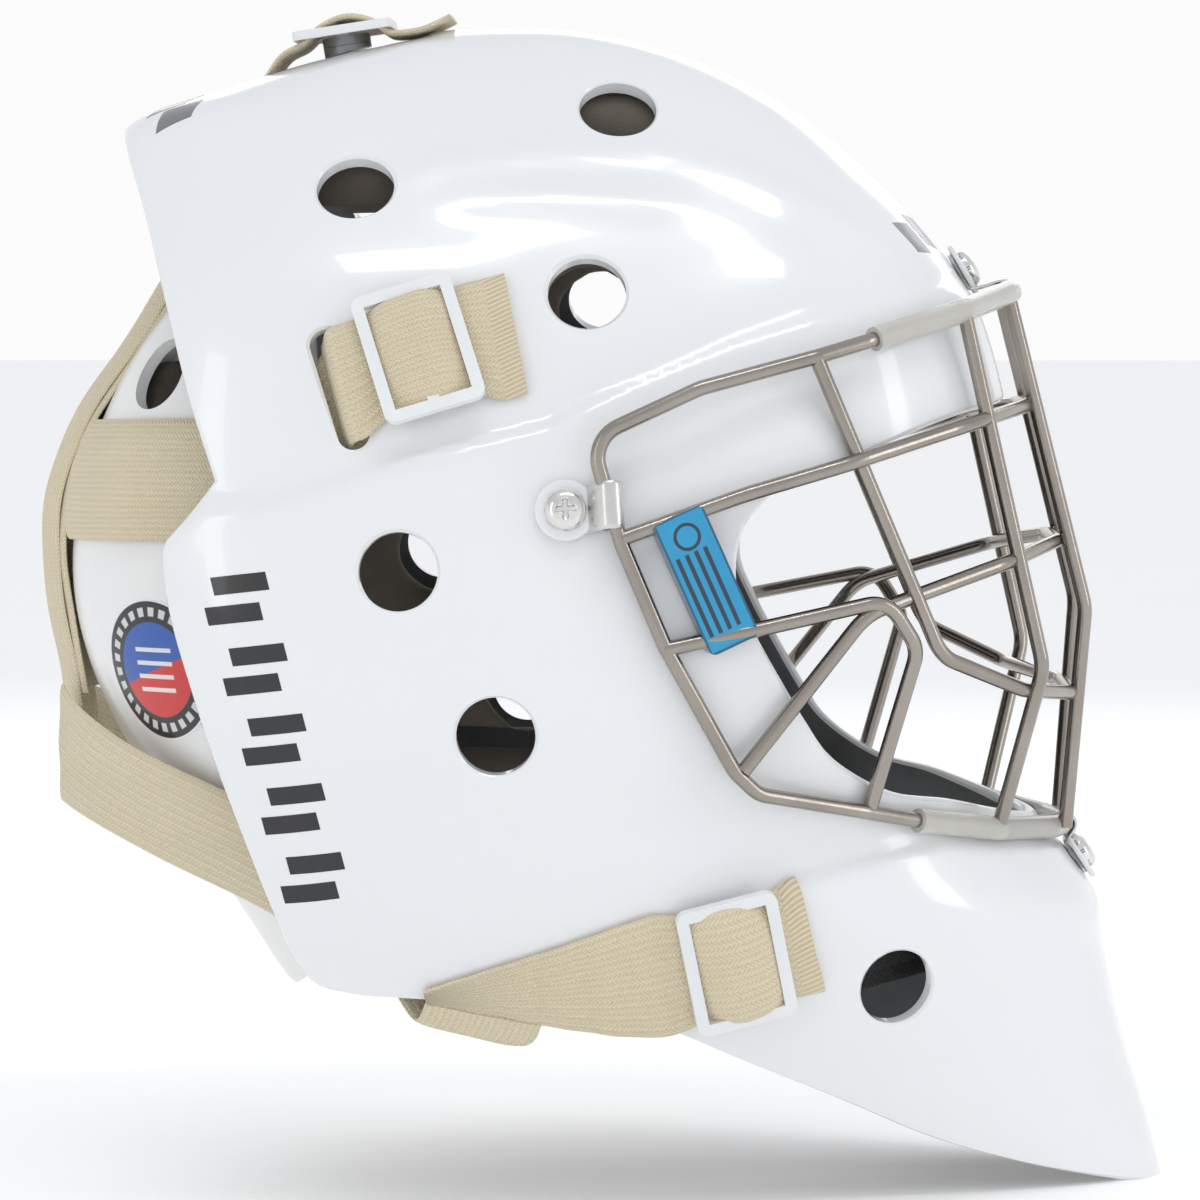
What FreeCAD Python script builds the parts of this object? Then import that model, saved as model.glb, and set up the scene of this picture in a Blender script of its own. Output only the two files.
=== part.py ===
"""Ice hockey goalie mask: moulded shell, bolted wire cage, foam liner, chin sling and strapped backplate.

Origin at the centre of the wearer's head at ear level. +X is forwards, +Y the wearer's left, +Z up. Millimetres.
"""
import FreeCAD
import Part

import math
import os

os.makedirs("parts", exist_ok=True)
Vector = FreeCAD.Vector

# ---- driving dimensions ----
WALL = 4.0                 # shell wall
CROWN_HEIGHT = 150.7       # top of the dome
WIRE = 4.0                 # cage wire diameter
SLEEVE = 6.4               # outside diameter of the clear rim sleeve
VENT = 20.5                # diameter of every shell vent
FOAM = 11.0                # liner thickness
FOAM_GAP = 1.5             # glue gap between the shell and the liner
BACK_WALL = 3.5            # backplate wall
WEB = 32.0                 # elastic strap width
WEB_THICK = 2.0            # elastic strap thickness
CLEAR = 0.35               # gap that keeps moving pieces apart
SCREW_HEAD = 11.0
SCREW_SHANK = 5.0
GLIDE_TRAVEL = 6.0         # how far a strap slide moves each way

# Horizontal sections of the shell's outside: height, foremost X, rearmost X, half width.
SHELL_SECTIONS = [
    (-172, 176, -60, 52), (-150, 170.5, -72, 65), (-125, 163, -86, 77), (-100, 157.5, -98, 89),
    (-86, 155, -106, 94), (-73, 146, -112, 97), (-60, 138.5, -116, 99.5), (-36, 137.5, -121, 104.5),
    (0, 136, -126, 105.5), (30, 132.5, -128, 101), (55, 128.5, -128, 94.5), (80, 119.5, -125, 85),
    (100, 104.5, -119.5, 72), (117, 87, -114, 58), (127, 74.5, -105, 49), (134, 63, -84, 42),
    (142, 46, -58, 32), (148, 25, -31, 22), (CROWN_HEIGHT, 8, -19, 10),
]
BACK_SECTIONS = [
    (-112, 60, -62, 60), (-98, 60, -73, 67), (-66, 60, -95, 75), (-44, 60, -110, 79), (-20, 60, -121, 81),
    (0, 60, -125, 82), (22, 60, -123.5, 82), (44, 60, -117, 80), (66, 60, -105, 77), (84, 60, -92, 72),
]

# Side-view outlines, as (X, Z).
FACE_EDGE = [(133, 50.3), (116, 46.6), (91, 37), (66, 26), (59.5, 18), (57.7, 10), (58, 1.6), (62, -8), (69, -21),
             (76, -33), (82, -42), (91, -49), (99, -53), (115.5, -56), (128, -59), (139, -61.5)]
REAR_EDGE = [(-111, 124), (-100.5, 99.5), (-93, 75.5), (-86, 51), (-79, 30)]
NOTCH_EDGE = [(-79, 30), (-92, 13.5)]
JAW_EDGE = [(-92, 13.5), (-91, 0), (-84, -27), (-71, -65), (-60, -93)]
CORNER_EDGE = [(-60, -93), (-54, -102), (-43, -105)]
THROAT_EDGE = [(-43, -105), (0, -108), (37, -114), (57, -123), (84, -135), (112, -149), (133, -157), (174, -168)]

# Vents and slots, as (X, Z) where each is centred on the shell's side.
EAR_VENT, JAW_VENT, TEMPLE_VENT = (-29.7, 6.8), (-4.6, -35.8), (18.3, 79.6)
REAR_VENT, CROWN_VENT, THROAT_VENT = (-43.3, 106.7), (25.4, 128.0), (99.7, -104.5)
SIDE_SLOT = ((-49.5, 65.5), (-41.8, 42.5))
SLOT_WIDTH = 8.5

# Cage wires, as (X, side, Z) on the wearer's left; the right side is the mirror image.
RIM_TOP = [(130.5, 26, 79), (117, 60, 74), (91.5, 84.5, 66), (78, 93, 62), (48, 104.5, 54)]
RIM_SIDE = [(20, 107.5, 41), (28, 108.5, 14), (39, 108, -12), (57, 101, -45)]
RIM_LOW = [(63, 98, -51), (91, 79, -57), (104, 69, -60), (127, 48, -64), (143, 18, -66), (147, 0, -66.5)]
BROW_BAR = [(135, 27, 48.5), (121, 68, 45), (87, 93.5, 34.5), (60, 103, 26.8), (28, 108.6, 15.5)]
EYE_BAR = [(143, 27, 12), (129, 66, 8), (91, 93.5, -4.6), (59, 100.5, -45)]
MOUTH_BAR = [(147, 27, -29), (133, 64, -26), (110.6, 84, -16), (78, 92.8, 61.5)]
CHEEK_BAR = [(38.8, 108.2, -13), (60, 104.5, -8.6), (96.5, 91.5, -1), (104.5, 86.5, -14), (92, 77.5, -57)]
OUTER_UPRIGHT = [(117, 60.2, 74), (138, 64.5, -20), (127, 48.5, -63.8)]
INNER_UPRIGHT = [(130, 26.5, 78.3), (151, 27, -6), (146.2, 19, -66)]
CLIP_SIDE, CLIP_TOP, CLIP_CHIN = (13.4, 22.2), (117.0, 84.6), (149.2, -76.6)


# ---- shape helpers ----
def between(rows, height):
    """The section at a height, worked out in a straight line between the rows on either side of it."""
    height = min(max(height, rows[0][0]), rows[-1][0])
    for low, high in zip(rows, rows[1:]):
        if height <= high[0]:
            part = (height - low[0]) / (high[0] - low[0])
            return [a + part * (b - a) for a, b in zip(low, high)]


def squareness(height):
    """Superellipse exponent of the front half: boxy at the brow, a plain ellipse at the chin."""
    part = min(max((height + 60) / 100, 0), 1)
    return 2.0 + 0.9 * part


def section_points(row, inset, rear_exponent, count=36):
    """Points evenly turned round one superellipse section, moved in by the inset and, near the top, down."""
    height, front, back, side = row
    flat = max(height / CROWN_HEIGHT, 0) ** 3
    inward = inset * math.sqrt(1 - flat ** 2)
    points = []
    for step in range(count):
        angle = 2 * math.pi * step / count
        forward = math.cos(angle) > 0
        reach = (front if forward else -back) - inward
        power = squareness(height) if forward else rear_exponent
        span = abs(math.cos(angle) / reach) ** power + abs(math.sin(angle) / (side - inward)) ** power
        radius = span ** (-1 / power)
        points.append(Vector(radius * math.cos(angle), radius * math.sin(angle), height - inset * flat))
    return points


def body(rows, inset, rear_exponent):
    """A closed solid lofted through all the sections, each moved in by the inset.

    Every section has the same parameters, so the lofted surface has no more knots than one section.
    """
    wires = []
    for row in rows:
        points = section_points(row, inset, rear_exponent)
        evenly = [step / len(points) for step in range(len(points) + 1)]
        curve = Part.BSplineCurve()
        curve.interpolate(Points=points, PeriodicFlag=True, Parameters=evenly)
        wires.append(Part.Wire([curve.toShape()]))
    return Part.makeLoft(wires, True, False)


def mask_body(inset):
    return body(SHELL_SECTIONS, inset, 3.2)


def back_body(inset):
    return body(BACK_SECTIONS, inset, 2.5)


def side_of(x, z, stand=0.0):
    """How far out the shell's side is at X and Z, standing off by a distance."""
    _, front, back, side = between(SHELL_SECTIONS, z)
    reach = (front if x > 0 else -back) + stand
    power = squareness(z) if x > 0 else 3.2
    return (side + stand) * max(1 - abs(x / reach) ** power, 0) ** (1 / power)


def outward(x, z):
    """Unit normal of the shell's left side at X and Z, from the slopes of its side distance."""
    step = 1.5
    slope_x = (side_of(x + step, z) - side_of(x - step, z)) / (2 * step)
    slope_z = (side_of(x, z + step) - side_of(x, z - step)) / (2 * step)
    return Vector(-slope_x, 1, -slope_z).normalize()


def on_side(x, z):
    return Vector(x, side_of(x, z), z)


def mirrored(shape):
    return shape.mirror(Vector(0, 0, 0), Vector(0, 1, 0))


def both(shape):
    """The shape on the wearer's left together with its mirror image on the right."""
    return Part.makeCompound([shape, mirrored(shape)])


def cylinder(middle, direction, radius, length):
    direction = Vector(direction).normalize()
    return Part.makeCylinder(radius, length, middle - direction * (length / 2), direction)


def slab(points, low_y, high_y):
    """A flat outline in the side view, (X, Z), carried from one Y to another."""
    corners = [Vector(x, low_y, z) for x, z in points]
    face = Part.Face(Part.makePolygon(corners + corners[:1]))
    return face.extrude(Vector(0, high_y - low_y, 0))


def smooth_edge(points, y):
    curve = Part.BSplineCurve()
    curve.interpolate([Vector(x, y, z) for x, z in points])
    return curve.toShape()


def cutter(edges, corners, reach=150):
    """A slab whose outline is smooth edges in a row, closed by straight lines through the corners."""
    shapes = [smooth_edge(points, -reach) for points in edges]
    path = [edges[-1][-1]] + corners + [edges[0][0]]
    ends = [Vector(x, -reach, z) for x, z in path]
    shapes += [Part.makeLine(a, b) for a, b in zip(ends, ends[1:])]
    return Part.Face(Part.Wire(shapes)).extrude(Vector(0, 2 * reach, 0))


def rod_path(points, bend):
    """Straight runs joined by tangent arcs. Each arc takes at most 0.45 of the shorter run beside it."""
    edges = []
    start = points[0]
    for before, corner, after in zip(points, points[1:], points[2:]):
        back, ahead = before - corner, after - corner
        half = (math.pi - back.getAngle(ahead)) / 2
        trim = min(bend * math.tan(half), 0.45 * min(back.Length, ahead.Length))
        entry = corner + back.normalize() * trim
        leave = corner + ahead.normalize() * trim
        bow = (back + ahead).normalize()
        radius = trim / math.tan(half)
        middle = corner + bow * (radius / math.cos(half) - radius)
        edges += [Part.makeLine(start, entry), Part.Arc(entry, middle, leave).toShape()]
        start = leave
    edges.append(Part.makeLine(start, points[-1]))
    return edges


def rod(points, diameter=WIRE, bend=8.0):
    """A round wire along the points, with bent corners."""
    points = [Vector(*p) for p in points]
    path = Part.Wire(rod_path(points, bend))
    ring = Part.Wire(Part.makeCircle(diameter / 2, points[0], points[1] - points[0]))
    return path.makePipeShell([ring], True, False)


def with_mirror(points):
    """A wire's points from the mid-plane or near it out to the left, preceded by their mirror images."""
    right = [(x, -y, z) for x, y, z in reversed(points) if y > 0.01]
    return right + list(points)


def ribbon(path, width, thickness, across=Vector(0, 1, 0)):
    """A flat strap: the path is its underside in a plane, and the thickness is built to the path's left."""
    curve = Part.BSplineCurve()
    curve.interpolate([Vector(*p) for p in path])
    lower = curve.toShape()
    upper = Part.BSplineCurve()
    span = curve.LastParameter - curve.FirstParameter
    tops = []
    for step in range(13):
        at = curve.FirstParameter + span * step / 12
        lift = Vector(*curve.tangent(at)[0]).cross(across).normalize() * thickness
        tops.append(curve.value(at) + lift)
    upper.interpolate(tops)
    closing = [Part.makeLine(lower.Vertexes[-1].Point, upper.EndPoint), Part.makeLine(upper.StartPoint,
                                                                                      lower.Vertexes[0].Point)]
    face = Part.Face(Part.Wire(Part.__sortEdges__([lower, closing[0], upper.toShape(), closing[1]])))
    face.translate(across * (-width / 2))
    return face.extrude(across * width)


def local_frame(middle, along, up):
    """A placement whose X runs along, whose Z is up, and whose origin is the middle point."""
    up = Vector(up).normalize()
    along = (Vector(along) - up * Vector(along).dot(up)).normalize()
    side = up.cross(along)
    matrix = FreeCAD.Matrix(along.x, side.x, up.x, middle.x, along.y, side.y, up.y, middle.y,
                            along.z, side.z, up.z, middle.z, 0, 0, 0, 1)
    return FreeCAD.Placement(matrix)


def placed(shape, frame):
    shape = shape.copy()
    shape.Placement = frame
    return shape


def box(length, width, height, x=0.0, y=0.0, z=0.0):
    """A box centred on x and y, standing on z."""
    return Part.makeBox(length, width, height, Vector(x - length / 2, y - width / 2, z))


def rounded_box(length, width, height, radius, z=0.0):
    block = box(length, width, height, z=z)
    upright = [e for e in block.Edges if abs(e.Vertexes[0].Z - e.Vertexes[-1].Z) > height / 2]
    return block.makeFillet(radius, upright)


def write(name, shape):
    shape.exportStep(f"parts/{name}.step")
    print(f"{name:24s} solids {len(shape.Solids):2d}  volume {shape.Volume / 1000:8.2f} cm3  valid {shape.isValid()}")


# ---- shell ----
def vent_drill(spot, radius=VENT / 2, length=60):
    return cylinder(on_side(*spot), outward(*spot), radius, length)


def slot_drill(spots, width, length=40):
    """An obround cutter between two spots on the left side."""
    ends = [on_side(*s) for s in spots]
    middle = (ends[0] + ends[1]) * 0.5
    frame = local_frame(middle, ends[1] - ends[0], outward((spots[0][0] + spots[1][0]) / 2,
                                                            (spots[0][1] + spots[1][1]) / 2))
    long = (ends[1] - ends[0]).Length + width
    return placed(rounded_box(long, width, length, width / 2 - 0.01, z=-length / 2), frame)


SIDE_VENTS = (EAR_VENT, JAW_VENT, TEMPLE_VENT, REAR_VENT, CROWN_VENT, THROAT_VENT)
TOP_SLOT_X = -69.0
FACE_CUT = cutter([FACE_EDGE], [(210, -60), (210, 52)])
REAR_CUT = cutter([REAR_EDGE, NOTCH_EDGE, JAW_EDGE, CORNER_EDGE, THROAT_EDGE],
                  [(215, -168), (215, -210), (-210, -210), (-210, 127)])
SCREW_SPOTS = [(on_side(*CLIP_SIDE), outward(*CLIP_SIDE)),
               (Vector(between(SHELL_SECTIONS, CLIP_TOP[1])[1], 0, CLIP_TOP[1]), Vector(0.87, 0, 0.5)),
               (Vector(between(SHELL_SECTIONS, CLIP_CHIN[1])[1], 0, CLIP_CHIN[1]), Vector(0.83, 0, 0.55))]


def all_screws(make):
    """What make builds at a point and a direction, at both sides, the brow and the chin."""
    side, brow, chin = [make(point, direction) for point, direction in SCREW_SPOTS]
    return [side, mirrored(side), brow, chin]


def make_shell():
    shape = mask_body(0).cut(mask_body(WALL))
    shape = shape.cut(FACE_CUT).cut(REAR_CUT)
    for spot in SIDE_VENTS:
        drill = vent_drill(spot)
        shape = shape.cut(drill).cut(mirrored(drill))
    slot = slot_drill(SIDE_SLOT, SLOT_WIDTH)
    shape = shape.cut(slot).cut(mirrored(slot))
    shape = shape.cut(box(7, WEB + 3, 40, x=TOP_SLOT_X, z=115))
    for drill in all_screws(lambda p, d: cylinder(p, d, SCREW_SHANK / 2 + 0.1, 40)):
        shape = shape.cut(drill)
    return max(shape.Solids, key=lambda s: s.Volume)


# ---- liner ----
def liner_pad(foam, low, high, drills=()):
    """The stretch of the foam layer inside a box, with a breathing hole under each vent."""
    size = [b - a for a, b in zip(low, high)]
    pad = foam.common(Part.makeBox(*size, Vector(*low)))
    for spot in drills:
        pad = pad.cut(vent_drill(spot, VENT / 2 + 1.5, 90))
    for pocket in all_screws(lambda p, d: cylinder(p, d, 8, 60)):
        pad = pad.cut(pocket)
    return max(pad.Solids, key=lambda s: s.Volume)


def make_liner():
    foam = mask_body(WALL + FOAM_GAP).cut(mask_body(WALL + FOAM_GAP + FOAM)).cut(REAR_CUT).cut(FACE_CUT)
    pads = {
        "forehead_pad": liner_pad(foam, (40, -74, 56), (135, 74, 96)),
        "crown_pad_front": liner_pad(foam, (4, -40, 100), (90, 40, 150)),
        "crown_pad_rear": liner_pad(foam, (-58, -52, 100), (2, 52, 150)),
    }
    left = {
        "temple_pad": liner_pad(foam, (-36, 50, 20), (38, 110, 94), (TEMPLE_VENT,)),
        "ear_pad": liner_pad(foam, (-76, 50, -48), (52, 112, 17), (EAR_VENT, JAW_VENT)),
        "jaw_pad": liner_pad(foam, (-45, 50, -90), (84, 112, -51), (JAW_VENT,)),
    }
    for name, pad in left.items():
        pads[name + "_left"] = pad
        pads[name + "_right"] = mirrored(pad)
    return pads


# ---- cage ----
def rim_points():
    """The rim from the middle of its straight top down the left to the chin, and back up the right."""
    x, _, z = RIM_TOP[0]
    left = RIM_TOP + RIM_SIDE + RIM_LOW
    right = [(x, -y, z) for x, y, z in reversed(left[:-1])]
    return [(x, 0, z)] + left + right + [(x, 0, z)]


def make_cage():
    """Every wire of the cage by name. Wires meet in small welds, where one sinks slightly into the other."""
    rim = rod(rim_points(), bend=9)
    wires = {
        "cage_rim": rim,
        "cage_brow_bar": rod(with_mirror(BROW_BAR), bend=30),
        "cage_eye_bar": rod(with_mirror(EYE_BAR), bend=14),
        "cage_mouth_bar": rod(with_mirror(MOUTH_BAR), bend=10),
    }
    left = {
        "cage_cheek_bar": rod(CHEEK_BAR, bend=9),
        "cage_outer_upright": rod(OUTER_UPRIGHT, bend=12),
        "cage_inner_upright": rod(INNER_UPRIGHT, bend=16),
    }
    for name, wire in left.items():
        wires[name + "_left"] = wire
        wires[name + "_right"] = mirrored(wire)
    return wires


def make_sleeve(points, wires, shell):
    """A clear tube along a stretch of the rim, cut where the wires and the shell meet it."""
    tube = rod(with_mirror(points), SLEEVE, bend=9)
    for wire in wires:
        tube = tube.cut(wire)
    tube = tube.cut(shell)
    return max(tube.Solids, key=lambda s: s.Volume)


def make_sleeves(wires, shell):
    top = RIM_TOP[:2] + [(93, 83, 66.5)]
    low = list(reversed(RIM_LOW))[:3] + [(105, 68.2, -60.2)]
    bars = list(wires.values())
    return {"rim_sleeve_top": make_sleeve(top, bars, shell), "rim_sleeve_chin": make_sleeve(low, bars, shell)}


# ---- cage fasteners ----
CLIP_WIDTH, CLIP_THICK, WASHER, WASHER_THICK = 12.5, 1.2, 16.0, 1.6


def fastener_frames():
    """Placements at the side, brow and chin screws: X towards the clip's spot on the rim, Z along the screw."""
    aims = [Vector(25.2, 108.1, 24), Vector(130.5, 0, 79), Vector(147, 0, -66.5)]
    frames = [(local_frame(point, aim - point, direction), point, direction, aim)
              for (point, direction), aim in zip(SCREW_SPOTS, aims)]
    return frames


def make_clip(frame, point, direction, aim, shell, rim):
    """A steel strip from under the screw head to a hook curled round the rim wire."""
    up = Vector(direction).normalize()
    span = aim - point
    rise = span.dot(up)
    run = (span - up * rise).Length
    base = WASHER_THICK
    hook = Part.makeCylinder(WIRE / 2 + 0.05 + CLIP_THICK, CLIP_WIDTH, Vector(run, -CLIP_WIDTH / 2, rise),
                             Vector(0, 1, 0))
    foot = box(13, CLIP_WIDTH, CLIP_THICK, x=0, z=base)
    start, end = (6.5, base), (run - 1, rise + WIRE / 2 + 0.05)
    ramp = slab([start, (end[0], end[1]), (end[0], end[1] + CLIP_THICK), (start[0], base + CLIP_THICK)],
                -CLIP_WIDTH / 2, CLIP_WIDTH / 2)
    clip = foot.fuse([hook, ramp]).cut(Part.makeCylinder(SCREW_SHANK / 2 + 0.1, 20, Vector(0, 0, -5)))
    clip = placed(clip.removeSplitter(), frame).cut(rim).cut(shell)
    return max(clip.Solids, key=lambda s: s.Volume)


def make_screw():
    """A pan-head screw with a cross recess; Z = 0 is the shell's surface."""
    seat = WASHER_THICK + CLIP_THICK
    head = Part.makeCylinder(SCREW_HEAD / 2, 3.2, Vector(0, 0, seat))
    head = head.makeFillet(2.2, [head.Edges[0]] if head.Edges[0].Vertexes[0].Z > seat + 1 else [head.Edges[2]])
    for turn in (0, 90):
        arm = box(5.5, 1.2, 2, z=seat + 1.4)
        arm.rotate(Vector(0, 0, 0), Vector(0, 0, 1), turn)
        head = head.cut(arm)
    return head.fuse(Part.makeCylinder(SCREW_SHANK / 2, seat + 9, Vector(0, 0, -9))).removeSplitter()


def make_washer():
    ring = Part.makeCylinder(WASHER / 2, WASHER_THICK + 2, Vector(0, 0, -2))
    return ring.cut(Part.makeCylinder(SCREW_SHANK / 2 + 0.1, 20, Vector(0, 0, -10)))


def make_insert():
    """A flanged threaded barrel behind the shell wall."""
    flange = Part.makeCylinder(6.5, 1.4, Vector(0, 0, -WALL - 2.2))
    barrel = Part.makeCylinder(4.0, 5.0, Vector(0, 0, -WALL - 6.8))
    return flange.fuse(barrel).cut(Part.makeCylinder(SCREW_SHANK / 2, 30, Vector(0, 0, -20)))


def make_fasteners(shell, wires):
    rim = wires["cage_rim"]
    names = ("cage_clip_left", "cage_clip_brow", "cage_clip_chin")
    clips, screws, washers, inserts = {}, [], [], []
    sleeves = make_sleeves(wires, shell)
    for name, (frame, point, direction, aim) in zip(names, fastener_frames()):
        clip = make_clip(frame, point, direction, aim, shell, rim)
        clips[name] = clip
        washer = placed(make_washer(), frame).cut(shell).cut(clip).cut(sleeves["rim_sleeve_chin"])
        group = [placed(make_screw(), frame), washer, placed(make_insert(), frame).cut(shell)]
        for store, piece in zip((screws, washers, inserts), group):
            store.append(max(piece.Solids, key=lambda s: s.Volume))
            if name == "cage_clip_left":
                store.append(mirrored(store[-1]))
    clips["cage_clip_right"] = mirrored(clips["cage_clip_left"])
    for name, sleeve in sleeves.items():
        for clip in clips.values():
            sleeve = sleeve.cut(clip)
        sleeves[name] = max(sleeve.Solids, key=lambda s: s.Volume)
    pieces = dict(clips)
    pieces.update(sleeves)
    pieces["cage_screws"] = Part.makeCompound(screws)
    pieces["screw_washers"] = Part.makeCompound(washers)
    pieces["threaded_inserts"] = Part.makeCompound(inserts)
    return pieces


# ---- backplate and its straps ----
BACK_OUTLINE = [(-145, 84), (-88, 84), (-64, 66), (-60, 10), (-58, -60), (-50, -98), (-62, -108), (-145, -108)]
BACK_VENT = (-97, 57)
STICKER_SPOT, STICKER_RADIUS = (-97, -21.8), 19.0
UPPER_BAND = (12.0, 44.0)
LOWER_TOP, LOWER_BOTTOM = ((0.15, -28), (0.86, -62)), ((0.15, -59), (0.80, -92))  # angle and Z, rear then jaw
LOWER_STAND, STRAP_REAR = 1.8, 125.0
REAR_STRAP = [(-123, -60), (-126.7, -30), (-130, -11), (-132.6, 11), (-127.5, 37), (-112, 62), (-99, 82)]


def back_side(x, z):
    """How far out the backplate is at X and Z."""
    _, _, back, side = between(BACK_SECTIONS, z)
    return side * max(1 - abs(x / back) ** 2.5, 0) ** (1 / 2.5)


def back_outward(x, z):
    """Unit normal of the backplate's left side at X and Z."""
    step = 1.5
    slope_x = (back_side(x + step, z) - back_side(x - step, z)) / (2 * step)
    slope_z = (back_side(x, z + step) - back_side(x, z - step)) / (2 * step)
    return Vector(-slope_x, 1, -slope_z).normalize()


def back_drill(spot, radius, length=30):
    x, z = spot
    return cylinder(Vector(x, back_side(x, z), z), back_outward(x, z), radius, length)


def back_point(angle, z, stand):
    """A point on the backplate at an angle from straight behind, standing off by a distance."""
    _, _, back, side = between(BACK_SECTIONS, z)
    span = abs(math.cos(angle) / (stand - back)) ** 2.5 + abs(math.sin(angle) / (side + stand)) ** 2.5
    radius = span ** (-1 / 2.5)
    return Vector(-radius * math.cos(angle), radius * math.sin(angle), z)


def make_lower_strap(stations=7):
    """The left strap from the vertical strap, where it stands clear of the backplate, down to it inside the jaw."""
    sections = []
    for step in range(stations):
        part = step / (stations - 1)
        corners = []
        for (rear_angle, rear_z), (jaw_angle, jaw_z) in (LOWER_TOP, LOWER_BOTTOM):
            z = rear_z + part * (jaw_z - rear_z)
            clear = (STRAP_REAR + between(BACK_SECTIONS, z)[2]) * (1 - part) ** 2
            angle = rear_angle + part * (jaw_angle - rear_angle)
            corners.append(back_point(angle, z, LOWER_STAND + clear))
        top, bottom = corners
        out = Vector(-math.cos(angle), math.sin(angle), -0.4).normalize() * WEB_THICK
        sections.append(Part.makePolygon([top, bottom, bottom + out, top + out, top]))
    return Part.makeLoft(sections, True, True)


def make_backplate():
    keep = slab(BACK_OUTLINE, -100, 100)
    outside = back_body(0)
    plate = outside.cut(back_body(BACK_WALL)).common(keep)
    vent = back_drill(BACK_VENT, VENT / 2)
    plate = plate.cut(vent).cut(mirrored(vent))
    foam = back_body(BACK_WALL + FOAM_GAP).cut(back_body(BACK_WALL + 8)).common(
        slab([(-140, 66), (-70, 60), (-68, -55), (-140, -60)], -74, 74))
    foam = foam.cut(back_drill(BACK_VENT, VENT / 2 + 2)).cut(mirrored(back_drill(BACK_VENT, VENT / 2 + 2)))
    sleeve = back_body(-CLEAR - WEB_THICK).cut(back_body(-CLEAR))
    upper = sleeve.common(slab([(-140, UPPER_BAND[0]), (-66, UPPER_BAND[0]), (-66, UPPER_BAND[1]),
                                (-140, UPPER_BAND[1])], -100, 100))
    lower = make_lower_strap().cut(outside)
    rear = ribbon([(x, 0, z) for x, z in REAR_STRAP], WEB, WEB_THICK)
    badge = back_body(-0.3).cut(outside).common(mirrored(back_drill(STICKER_SPOT, STICKER_RADIUS)))
    biggest = {"backplate": plate, "backplate_pad": foam, "upper_rear_strap": upper, "rear_strap": rear,
               "lower_rear_strap_left": lower, "backplate_sticker": badge}
    pieces = {name: max(shape.Solids, key=lambda s: s.Volume) for name, shape in biggest.items()}
    pieces["lower_rear_strap_right"] = mirrored(pieces["lower_rear_strap_left"])
    return pieces


# ---- side and jaw straps with their slides ----
SIDE_STRAP = [(-49.7, 67.7), (-41.6, 40.7), (3.3, 53.5), (-2.9, 82.4)]
JAW_STRAP = [(-26, -107.5), (-22, -103.5), (38, -82.2), (72, -74), (79.6, -102.7), (46, -114.6), (36, -116)]
SIDE_GLIDE, SIDE_ANGLE = (-24.9, 62.5), 16.8
JAW_GLIDE, JAW_ANGLE = (56.5, -94.5), 13.7
GLIDE_LENGTH, GLIDE_WIDTH, GLIDE_THICK, GLIDE_BAR = 27.0, 36.0, 2.4, 3.2


def make_glide(base):
    """A three-bar strap slide: a frame with a middle bar, lying flat with its underside at the base height."""
    frame = rounded_box(GLIDE_LENGTH, GLIDE_WIDTH, GLIDE_THICK, 3.0, z=base)
    gap = (GLIDE_LENGTH - 3 * GLIDE_BAR) / 2
    for sign in (-1, 1):
        frame = frame.cut(box(gap, GLIDE_WIDTH - 2 * GLIDE_BAR, 10, x=sign * (gap + GLIDE_BAR) / 2, z=base - 3))
    return frame


def side_glide(spot, angle):
    """A slide lying over a strap on the left side, turned in the side view by an angle in degrees."""
    slope = math.radians(angle)
    ahead = (spot[0] + 10 * math.cos(slope), spot[1] + 10 * math.sin(slope))
    behind = (spot[0] - 10 * math.cos(slope), spot[1] - 10 * math.sin(slope))
    along = on_side(*ahead) - on_side(*behind)
    frame = local_frame(on_side(*spot), along, outward(*spot))
    return placed(make_glide(CLEAR + WEB_THICK + 3 * CLEAR), frame)


def make_side_straps():
    outside, underside = mask_body(-CLEAR - WEB_THICK), mask_body(-CLEAR)
    pieces = {}
    for name, outline in (("side_strap", SIDE_STRAP), ("jaw_strap", JAW_STRAP)):
        strap = outside.common(slab(outline, 20, 150)).cut(underside).cut(REAR_CUT)
        pieces[name + "_left"] = max(strap.Solids, key=lambda s: s.Volume)
    pieces["side_slide_left"] = side_glide(SIDE_GLIDE, SIDE_ANGLE)
    pieces["jaw_slide_left"] = side_glide(JAW_GLIDE, JAW_ANGLE)
    for name in list(pieces):
        pieces[name.replace("left", "right")] = mirrored(pieces[name])
    return pieces


# ---- top strap, slide and press stud ----
STUD_FOOT, STUD_AIM = Vector(-49.6, 0, 143.9), Vector(-0.15, 0, 0.989)
STUD_RADIUS, STUD_RISE, SOCKET_RISE = 6.6, 2.6, 2.6
TOP_TAIL = [(-34.5, 0, 148.6), (-28, 0, 149.2), (-20, 0, 152.5)]
TOP_RISE = [(-77, 0, 128), (-69.6, 0, 136.8), (-66.4, 0, 143.5), (-65.4, 0, 146.6)]


def make_top(shell):
    frame = local_frame(STUD_FOOT, Vector(1, 0, 0.15), STUD_AIM)
    stud = placed(Part.makeCylinder(STUD_RADIUS, STUD_RISE + 3, Vector(0, 0, -3)), frame).cut(shell)
    socket = Part.makeCylinder(STUD_RADIUS, SOCKET_RISE - 0.1, Vector(0, 0, STUD_RISE + 0.1))
    slide = make_glide(STUD_RISE + SOCKET_RISE)
    rise = ribbon(TOP_RISE, WEB, WEB_THICK)
    tail = ribbon(TOP_TAIL, WEB, WEB_THICK)
    return {
        "top_stud": max(stud.Solids, key=lambda s: s.Volume if s.CenterOfMass.z > 143 else 0),
        "top_socket": placed(socket, frame),
        "top_slide": placed(slide, frame),
        "top_strap": max(rise.cut(shell).Solids, key=lambda s: s.Volume),
        "top_strap_tail": tail,
    }


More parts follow.
